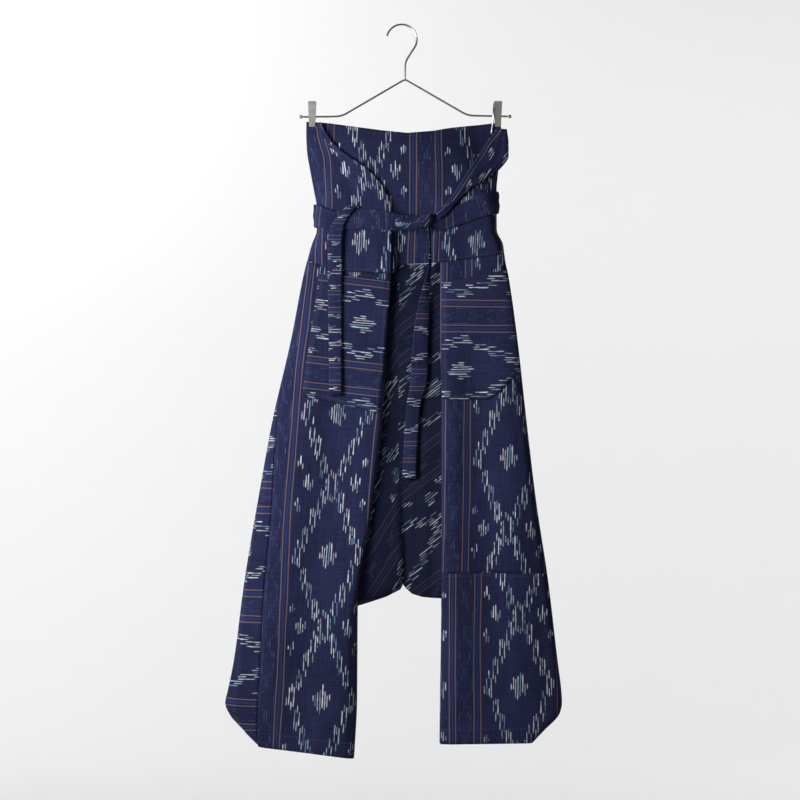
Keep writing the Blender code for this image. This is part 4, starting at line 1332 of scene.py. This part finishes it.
def hemmed(grid, hem):
    """The last stretch above a hem stands out a little, where the cloth is turned up double."""
    for point in grid.reshape(-1, 3):
        above = hem(point[0]) - point[2]
        side = FRONT if point[1] < 0 else BACK
        turned_up = ease((HEM - above) / HEM_TURN) * ease(abs(point[1]) / FOLD_FULL_DEPTH)
        point[1] += side * HEM_STEP * turned_up
    return grid


def add_leg(node, grid, line, middle_drop, finish):
    """A leg panel whose grain is measured from the middle column."""
    grain = grain_from(grid, grid.shape[1] // 2, line, middle_drop)
    add_cloth(node, grid, [(0, grain)], finish)


def build_legs(finish):
    left = hemmed(shell_moved(fine_panel(left_front_section, LEFT_DROPS, below_yoke, left_hem)), left_hem)
    add_leg("left_leg_front", left, LEFT_GRAIN, LEFT_MIDDLE_DROP, finish)

    strip_drops = [STRIP_TOP_DROP] + [drop for drop in LEFT_DROPS if drop > STRIP_TOP_DROP]
    first = (STRIP_TOP_DROP - LEFT_DROPS[0]) / (LEFT_DROPS[-1] - LEFT_DROPS[0])
    shares = [first + share * (1 - first) for share in fine_shares(strip_drops)]
    strip = shell_moved(refined(grid_of(strip_section, shares, below_yoke, left_hem)))
    grain = turned_grain(strip, *STRIP_MIDDLE)
    add_cloth("left_side_strip", strip, [(0, grain)], finish)

    section = whole_leg_section(BACK, "left", LEFT_BACK_COLUMNS)
    back = shell_moved(fine_panel(section, LEFT_BACK_DROPS, below_back_yoke, left_hem))
    back_drop = LEFT_MIDDLE_DROP - BACK_GRAIN_RISE
    add_leg("left_leg_back", back, LEFT_GRAIN, back_drop, finish)

    panels = []
    for side, word, middle, top in RIGHT_PANELS:
        section = whole_leg_section(side, "right", middle)
        node = f"right_leg_{word}"
        upper = shell_moved(fine_panel(section, RIGHT_UPPER_DROPS, top, above_join))
        add_leg(node, upper, RIGHT_GRAIN, RIGHT_MIDDLE_DROP, finish)
        lower = hemmed(shell_moved(fine_panel(section, RIGHT_LOWER_DROPS, below_join, right_hem)), right_hem)
        low_drop = RIGHT_LOWER_MIDDLE_DROP
        add_leg(f"{node}_lower", lower, RIGHT_LOWER_GRAIN, low_drop, finish)
        panels += [upper, lower]
    return left, panels[0], panels[1]


def build_gusset(finish):
    shares = [k / GUSSET_ROWS for k in range(GUSSET_ROWS + 1)]
    for side, word, top in ((FRONT, "front", below_yoke), (BACK, "back", below_back_yoke)):
        grid = shell_moved(refined(grid_of(gusset_section(side), shares, top, crotch)))
        row = grid[GUSSET_STEP_ROW]
        step_column = int(np.argmin(np.abs(row[:, 0] - read(GUSSET_STEP, "x", row[0, 2]))))
        grains = [(0, bias_grain(grid, *GUSSET_GRAIN[0])), (step_column, bias_grain(grid, *GUSSET_GRAIN[1]))]
        add_cloth(f"gusset_{word}", grid, grains, finish)


def build_pockets(legs, finish):
    pockets = []
    for index, side in enumerate(("left", "right")):
        grid = refined(pocket_grid(legs[index], index))
        grain = turned_grain(grid, *POCKET_MIDDLES[index])
        add_cloth(f"{side}_pocket", grid, [(0, grain)], finish)
        pockets.append(grid)
    return pockets


def build_band(finish):
    grid = shell_moved(refined_closed(band_grid()))
    along = along_rows(grid)
    grid[..., :2] += outward(grid) * belt_rise(along)[..., None]
    round_belt = np.repeat(along[len(along) // 2][None, :], len(along), axis=0)
    grain = np.stack([round_belt - BELT_SHIFT[0], grid[..., 2] - BELT_SHIFT[1]], axis=-1)
    add_cloth("waist_band", grid, [(0, grain)], finish, wall=BELT_WALL, closed=True)
    return grid


def outward(grid):
    """The level way out of a closed grid at each point."""
    way = np.roll(grid[..., :2], -1, axis=1) - np.roll(grid[..., :2], 1, axis=1)
    way = np.stack([way[..., 1], -way[..., 0]], axis=-1)
    way /= np.maximum(np.linalg.norm(way, axis=-1, keepdims=True), TINY_LENGTH)
    middle = grid[..., :2].mean(axis=(0, 1))
    facing = np.sign((way * (grid[..., :2] - middle)).sum(axis=-1, keepdims=True))
    return way * facing


def belt_rise(along):
    """The belt's edges turn in softly, and shallow creases run along it."""
    share = np.linspace(0, 1, len(along))[:, None]
    off_middle = np.abs(2 * share - 1)
    sway = sum(size * np.sin(along / length + start) for size, length, start in BELT_SWAY)
    creases = BELT_CREASE * np.sin(2 * math.pi * (BELT_CREASES * share + sway))
    return creases * (1 - off_middle**BELT_FADE) - BELT_EDGE_TURN * off_middle**BELT_EDGE_FALL


def refined_closed(grid):
    """More columns on a grid that closes on itself, and more rows between its edges."""
    whole = np.stack([grid[0] * (1 - t) + grid[-1] * t for t in np.linspace(0, 1, BELT_ROWS)])
    return refined(np.concatenate([whole, whole[:, :1]], axis=1))[:, :-1]


def run_down(line):
    """How far along a tie each of its rows lies."""
    return np.concatenate([[0], np.cumsum(np.linalg.norm(np.diff(line, axis=0), axis=1))])[:, None]


def build_right_tie(under, finish):
    knots = np.arange(len(RIGHT_TIE["lift"]), dtype=float)
    at = np.linspace(0, knots[-1], TIE_ROWS)
    edges = {name: np.array([smooth(knots, RIGHT_TIE[name], t) for t in at]) for name in RIGHT_TIE}
    grid = []
    for i in range(TIE_ROWS):
        sway = sum(size * math.sin(i / rows) for size, rows in TIE_SWAY)
        row = []
        for u in np.linspace(0, 1, TIE_COLUMNS):
            x = edges["upper_x"][i] * (1 - u) + edges["lower_x"][i] * u
            drop = edges["upper"][i] * (1 - u) + edges["lower"][i] * u
            side_x = min(x, read(OUTLINE, "right", drop) - TIE_SIDE_CLEARANCE)
            below = [front_most(under, side_x, drop + nearby) for nearby in TIE_NEARBY]
            puff = TIE_PUFF * math.sin(math.pi * u) ** TIE_ROUNDNESS
            puff += TIE_CREASE * math.sin(2 * math.pi * (TIE_CREASES * u + sway))
            row.append((x, min(y for y in below if y is not None) - edges["lift"][i] - puff, drop))
        grid.append(row)
    grid = np.array(grid)
    wide = np.linalg.norm(grid - grid[:, :1], axis=-1)
    run = np.repeat(run_down(grid[:, TIE_COLUMNS // 2]), TIE_COLUMNS, axis=1)
    grain = np.stack([RIGHT_TIE_SHIFT[0] - wide, run + RIGHT_TIE_SHIFT[1]], axis=-1)
    add_cloth("right_tie", grid, [(0, grain)], finish, wall=TIE_WALL)


def hanging_strip(source, depths, turns):
    """A narrow strip that hangs by its upper end, turned and softly dented along its length."""
    knots = source["drop"] if np.all(np.diff(source["drop"]) > 0) else np.arange(len(depths), dtype=float)
    at = np.linspace(knots[0], knots[-1], STRIP_ROWS)
    columns = [source["drop"], source["x"], source["half_width"], depths, turns]
    rows = [[smooth(knots, np.array(column, float), t) for column in columns] for t in at]
    grid = []
    for i, (drop, middle_x, half_width, depth, degrees) in enumerate(rows):
        across, forward = math.cos(math.radians(degrees)), math.sin(math.radians(degrees))
        row = []
        for u in np.linspace(-1, 1, STRIP_COLUMNS):
            reach = u * half_width
            lean = DENT_SWAY * math.sin(i / DENT_ROWS)
            dent = STRIP_DENT * math.cos(math.pi * u + lean) * min(i / DENT_START, 1)
            x = middle_x + reach * across + dent * forward
            row.append((x, -depth + reach * forward - dent * across, drop))
        grid.append(row)
    return np.array(grid)


def strip_grain(grid, shift):
    """A tie is cut across the cloth, so its dashes lie level where it hangs."""
    run = np.repeat(run_down(grid[:, STRIP_RUN_COLUMN]), grid.shape[1], axis=1)
    return np.stack([run * TIE_THREADS + shift[0], along_rows(grid) + shift[1]], axis=-1)


def build_hanging_ties(band, finish):
    band_front = -front_most([band], *LEFT_TIE_REST)
    left = hanging_strip(LEFT_TIE, LEFT_TIE["forward"] + band_front, np.zeros(len(LEFT_TIE["drop"])))
    grains = [(0, strip_grain(left, LEFT_TIE_SHIFT))]
    add_cloth("left_tie", left, grains, finish, wall=TIE_WALL)
    centre = hanging_strip(CENTRE_TIE, CENTRE_TIE["depth"], CENTRE_TIE["turn"])
    grains = [(0, strip_grain(centre, CENTRE_TIE_SHIFT))]
    add_cloth("centre_tie", centre, grains, finish, wall=TIE_WALL)


def build_knot(band, finish):
    """The twisted stretch where the ties cross over the belt."""
    points = []
    uvs = []
    for x in np.linspace(KNOT["x"][0], KNOT["x"][-1], KNOT_ROWS):
        drop, high, deep = (read(KNOT, name, x, by="x") for name in ("drop", "half_height", "half_depth"))
        centre = front_most([band], x, drop) - BAND_CLOTH / 2 - SEAM - deep * (1 + KNOT_GROOVE)
        for k in range(KNOT_SIDES):
            angle = 2 * math.pi * k / KNOT_SIDES
            twisted = angle - KNOT_TWIST * x
            swell = 1 + KNOT_GROOVE * math.cos(2 * twisted)
            swell += KNOT_RIDGE * math.cos(KNOT_RIDGES * twisted + KNOT_RIDGE_LEAN * x)
            points.append((x, centre - deep * swell * math.cos(angle), drop + high * swell * math.sin(angle)))
            across = x * KNOT_ACROSS[0] + angle * KNOT_ACROSS[1]
            uvs.append((across, angle * KNOT_ALONG[1] + x * KNOT_ALONG[0] + KNOT_ALONG[2]))
    last = (KNOT_ROWS - 1) * KNOT_SIDES
    faces = [list(range(KNOT_SIDES))[::-1], [last + k for k in range(KNOT_SIDES)]]
    for first in range(0, last, KNOT_SIDES):
        for k in range(KNOT_SIDES):
            after = (k + 1) % KNOT_SIDES
            faces.append([first + k, first + after, first + KNOT_SIDES + after, first + KNOT_SIDES + k])
    uvs = [uvs[i] for face in faces for i in face]
    piece = add_piece("cloth_tie_knot", points, faces, finish, uvs=uvs, node="tie_knot")


def stitch_run(sheets, corners):
    """Stitches laid on these sheets along straight lines between corners given as x and drop."""
    points = []
    faces = []
    for start, end in zip(corners[:-1], corners[1:]):
        start, end = np.array(start, float), np.array(end, float)
        way = (end - start) / np.linalg.norm(end - start)
        side = np.array([-way[1], way[0]]) * STITCH_HALF
        for k in range(int(np.linalg.norm(end - start) / STITCH_STEP)):
            near = start + way * (k * STITCH_STEP + STITCH_GAP)
            far = start + way * (k + 1) * STITCH_STEP
            places = [near, (near + far) / 2 - side, far, (near + far) / 2 + side, (near + far) / 2]
            depths = [front_most(sheets, *place) for place in places]
            if None in depths:
                continue
            first = len(points)
            rises = (0, 0, 0, 0, STITCH_HALF * STITCH_RISE)
            for place, depth, rise in zip(places, depths, rises):
                points.append((place[0], depth - THIN_CLOTH / 2 - rise, place[1]))
            faces += [(first + a, first + b, first + 4) for a, b in ((0, 1), (1, 2), (2, 3), (3, 0))]
    return points, faces


def add_stitches(name, sheets, runs, finish):
    points = []
    faces = []
    for corners in runs:
        more, ends = stitch_run(sheets, corners)
        faces += [tuple(i + len(points) for i in face) for face in ends]
        points += more
    add_piece(name, points, faces, finish)


def edge_line(line, span, inset):
    return [(x, line(x) + inset) for x in np.linspace(*span, EDGE_LINE_POINTS)]


def pocket_corners(index, inset):
    """A pocket's sides and foot, set in from its edges."""
    corner = {name: POCKETS[name][index] for name in POCKETS}
    left = (corner["top_left_x"] + inset, corner["top_left"] + inset)
    right = (corner["top_right_x"] - inset, corner["top_right"] + inset)
    low_left = (corner["low_left_x"] + inset, corner["low_left"] - inset)
    low_right = (corner["low_right_x"] - inset, corner["low_right"] - inset)
    if index == 0:
        return [left, low_left, low_right, right]
    cut_x = corner["low_left_x"] + POCKET_CUT_FROM * (corner["low_right_x"] - corner["low_left_x"])
    return [left, low_left, (cut_x, corner["low_left"] - inset), low_right, right]


def build_stitches(front, legs, lower_right, pockets):
    thread = yarn("navy_thread", THREAD_COLOUR)
    for index, side in enumerate(("left", "right")):
        runs = [pocket_corners(index, inset) for inset in POCKET_STITCH_INSETS]
        add_stitches(f"{side}_pocket_stitches", [pockets[index]], runs, thread)
    seams = [edge_line(yoke, span, -YOKE_STITCH_RISE) for span in YOKE_STITCH_SPANS]
    add_stitches("yoke_stitches", [front], seams, thread)
    hem = [edge_line(left_hem, LEFT_HEM_SPAN, -HEM)]
    add_stitches("left_hem_stitches", [legs[0]], hem, thread)
    runs = [edge_line(right_hem, RIGHT_HEM_SPAN, -HEM), edge_line(below_join, JOIN_SPAN, SEAM_STITCH_OUT)]
    add_stitches("right_hem_stitches", [lower_right], runs, thread)
    seam = zip(STRIP_SEAM["x"], STRIP_SEAM["drop"])
    top, low = STRIP_STITCH_DROPS
    strip = [(x + SEAM_STITCH_OUT, drop) for x, drop in seam if top < drop < low]
    add_stitches("strip_stitches", [legs[0]], [strip], thread)


def ladder(first, rows):
    """Faces between two lines of points that take turns, a rung to each row."""
    return [[first + 2 * k, first + 2 * k + 1, first + 2 * k + 3, first + 2 * k + 2] for k in range(rows - 1)]


def build_clip_flanges(finish):
    """Each jaw's folded sides: thin plates that run back from its edges towards the cloth."""
    rows = len(CLIP_SIDE["drop"])
    for name, x, turn in CLIP_TURNS:
        for side, word in ((FRONT, "front"), (BACK, "back")):
            points = []
            faces = []
            for edge in (-1, 1):
                faces += ladder(len(points), rows)
                for drop, forward, half_width in zip(*CLIP_SIDE.values()):
                    edge_x = x + edge * (half_width - FLANGE_INSET)
                    deep = max(forward - FLANGE_DEPTH, FLANGE_NEAREST)
                    turned_x = edge_x - (turn if edge < 0 else 0)
                    points += [(edge_x, side * forward, drop), (turned_x, side * deep, drop)]
            piece = f"{name}_{word}_flanges"
            add_piece(piece, points, faces, finish, wall=FLANGE_WALL, smooth=False)


def build_side_plate(sheets, finish):
    """The right clip is turned a little, so the long side plate of its back jaw shows beside it."""
    points = []
    for x, drop in zip(SIDE_PLATE["x"], SIDE_PLATE["drop"]):
        below = front_most(sheets, x, drop) if drop > CLIP_FOOT_DROP else None
        y = (below if below is not None else -SIDE_PLATE_REST) - SIDE_PLATE_OUT
        half = SIDE_PLATE_HALF * (1 if drop < CLIP_FOOT_DROP + SIDE_PLATE_FULL else SIDE_PLATE_TAPER)
        points += [(x - half, y, drop), (x + half, y - SIDE_PLATE_LEAN, drop)]
    faces = ladder(0, len(SIDE_PLATE["x"]))
    add_piece("right_clip_side_plate", points, faces, finish, wall=SIDE_PLATE_WALL)


def finish_metal(front):
    finishes = {
        "hanger_wire": metal("plated_wire", (0.33, 0.32, 0.31), 0.22),
        "bead_brass": metal("satin_brass", (0.40, 0.28, 0.13), 0.35),
        "clip_nickel": metal("satin_nickel", (0.58, 0.55, 0.51), 0.30),
        "spring_steel": metal("dark_spring_steel", (0.12, 0.11, 0.10), 0.4),
    }
    build_clip_flanges(finishes["clip_nickel"])
    build_side_plate([front], finishes["clip_nickel"])
    for part in frame["record"]["subparts"]:
        if part["material_slot"] in finishes:
            node = frame["nodes"][part["node"]]
            node.data.materials.clear()
            node.data.materials.append(finishes[part["material_slot"]])


def build_stage():
    """A pale floor that sweeps up into a far pale wall."""
    turn_y = BACKDROP_BEHIND - SWEEP_RADIUS
    turn_z = -FLOOR_DROP + SWEEP_RADIUS
    profile = [(-FLOOR_IN_FRONT, -FLOOR_DROP), (turn_y, -FLOOR_DROP)]
    for k in range(1, SWEEP_STEPS + 1):
        turn = k / SWEEP_STEPS * math.pi / 2
        profile.append((turn_y + SWEEP_RADIUS * math.sin(turn), turn_z - SWEEP_RADIUS * math.cos(turn)))
    profile.append((BACKDROP_BEHIND, BACKDROP_TOP))
    points = [(x, y, z) for y, z in profile for x in (-BACKDROP_HALF, BACKDROP_HALF)]
    mesh = bpy.data.meshes.new("sweep")
    mesh.from_pydata(points, [], ladder(0, len(profile)))
    mesh.shade_smooth()
    mesh.materials.append(plain("pale_paper", PAPER))
    sweep = bpy.data.objects.new("sweep", mesh)
    bpy.context.scene.collection.objects.link(sweep)


def add_light(name, place, target, size, power):
    light = bpy.data.lights.new(name, "AREA")
    light.shape = "DISK"
    light.size = size
    light.energy = power
    lamp = bpy.data.objects.new(name, light)
    lamp.location = place
    way = np.array(target) - np.array(place)
    yaw = math.atan2(way[1], way[0]) - math.pi / 2
    lamp.rotation_euler = (math.atan2(np.hypot(way[0], way[1]), -way[2]), 0, yaw)
    lamp.visible_camera = False
    bpy.context.scene.collection.objects.link(lamp)


def build_light():
    scene = bpy.context.scene
    scene.world = bpy.data.worlds.new("pale_room")
    scene.world.use_nodes = True
    background = scene.world.node_tree.nodes["Background"]
    background.inputs["Color"].default_value = (*ROOM_COLOUR, 1)
    background.inputs["Strength"].default_value = ROOM_LIGHT
    scene.view_settings.view_transform = "Standard"
    for light in LIGHTS:
        add_light(*light)


def build_camera():
    data = bpy.data.cameras.new("camera")
    data.sensor_width = SENSOR_WIDTH
    data.lens = SENSOR_WIDTH * VIEW_DISTANCE / PHOTO_WIDTH
    camera = bpy.data.objects.new("camera", data)
    camera.location = (PHOTO_CENTRE[0], -VIEW_DISTANCE, PHOTO_CENTRE[1])
    camera.rotation_euler = (math.pi / 2, 0, 0)
    bpy.context.scene.collection.objects.link(camera)
    bpy.context.scene.camera = camera


def main():
    build_camera()
    build_stage()
    build_light()
    body = cotton("indigo_cotton")
    # The gusset's ground is darkened to half and its dashes and stripes made fainter: partly its own darker
    # navy, partly painted shade of the deep recess between the legs.
    shaded = cotton("gusset_cotton", dashes=0.6, stripes=0.25, shade=0.5)
    quiet = cotton("belt_cotton", dashes=0.1, stripes=0.7)
    front = build_waist(body)
    *legs, lower_right = build_legs(body)
    build_gusset(shaded)
    pockets = build_pockets(legs, body)
    band = build_band(quiet)
    build_right_tie([front, band[:, : band.shape[1] // 2]], body)
    build_hanging_ties(band, body)
    build_knot(band, body)
    build_stitches(front, legs, lower_right, pockets)
    finish_metal(front)


main()
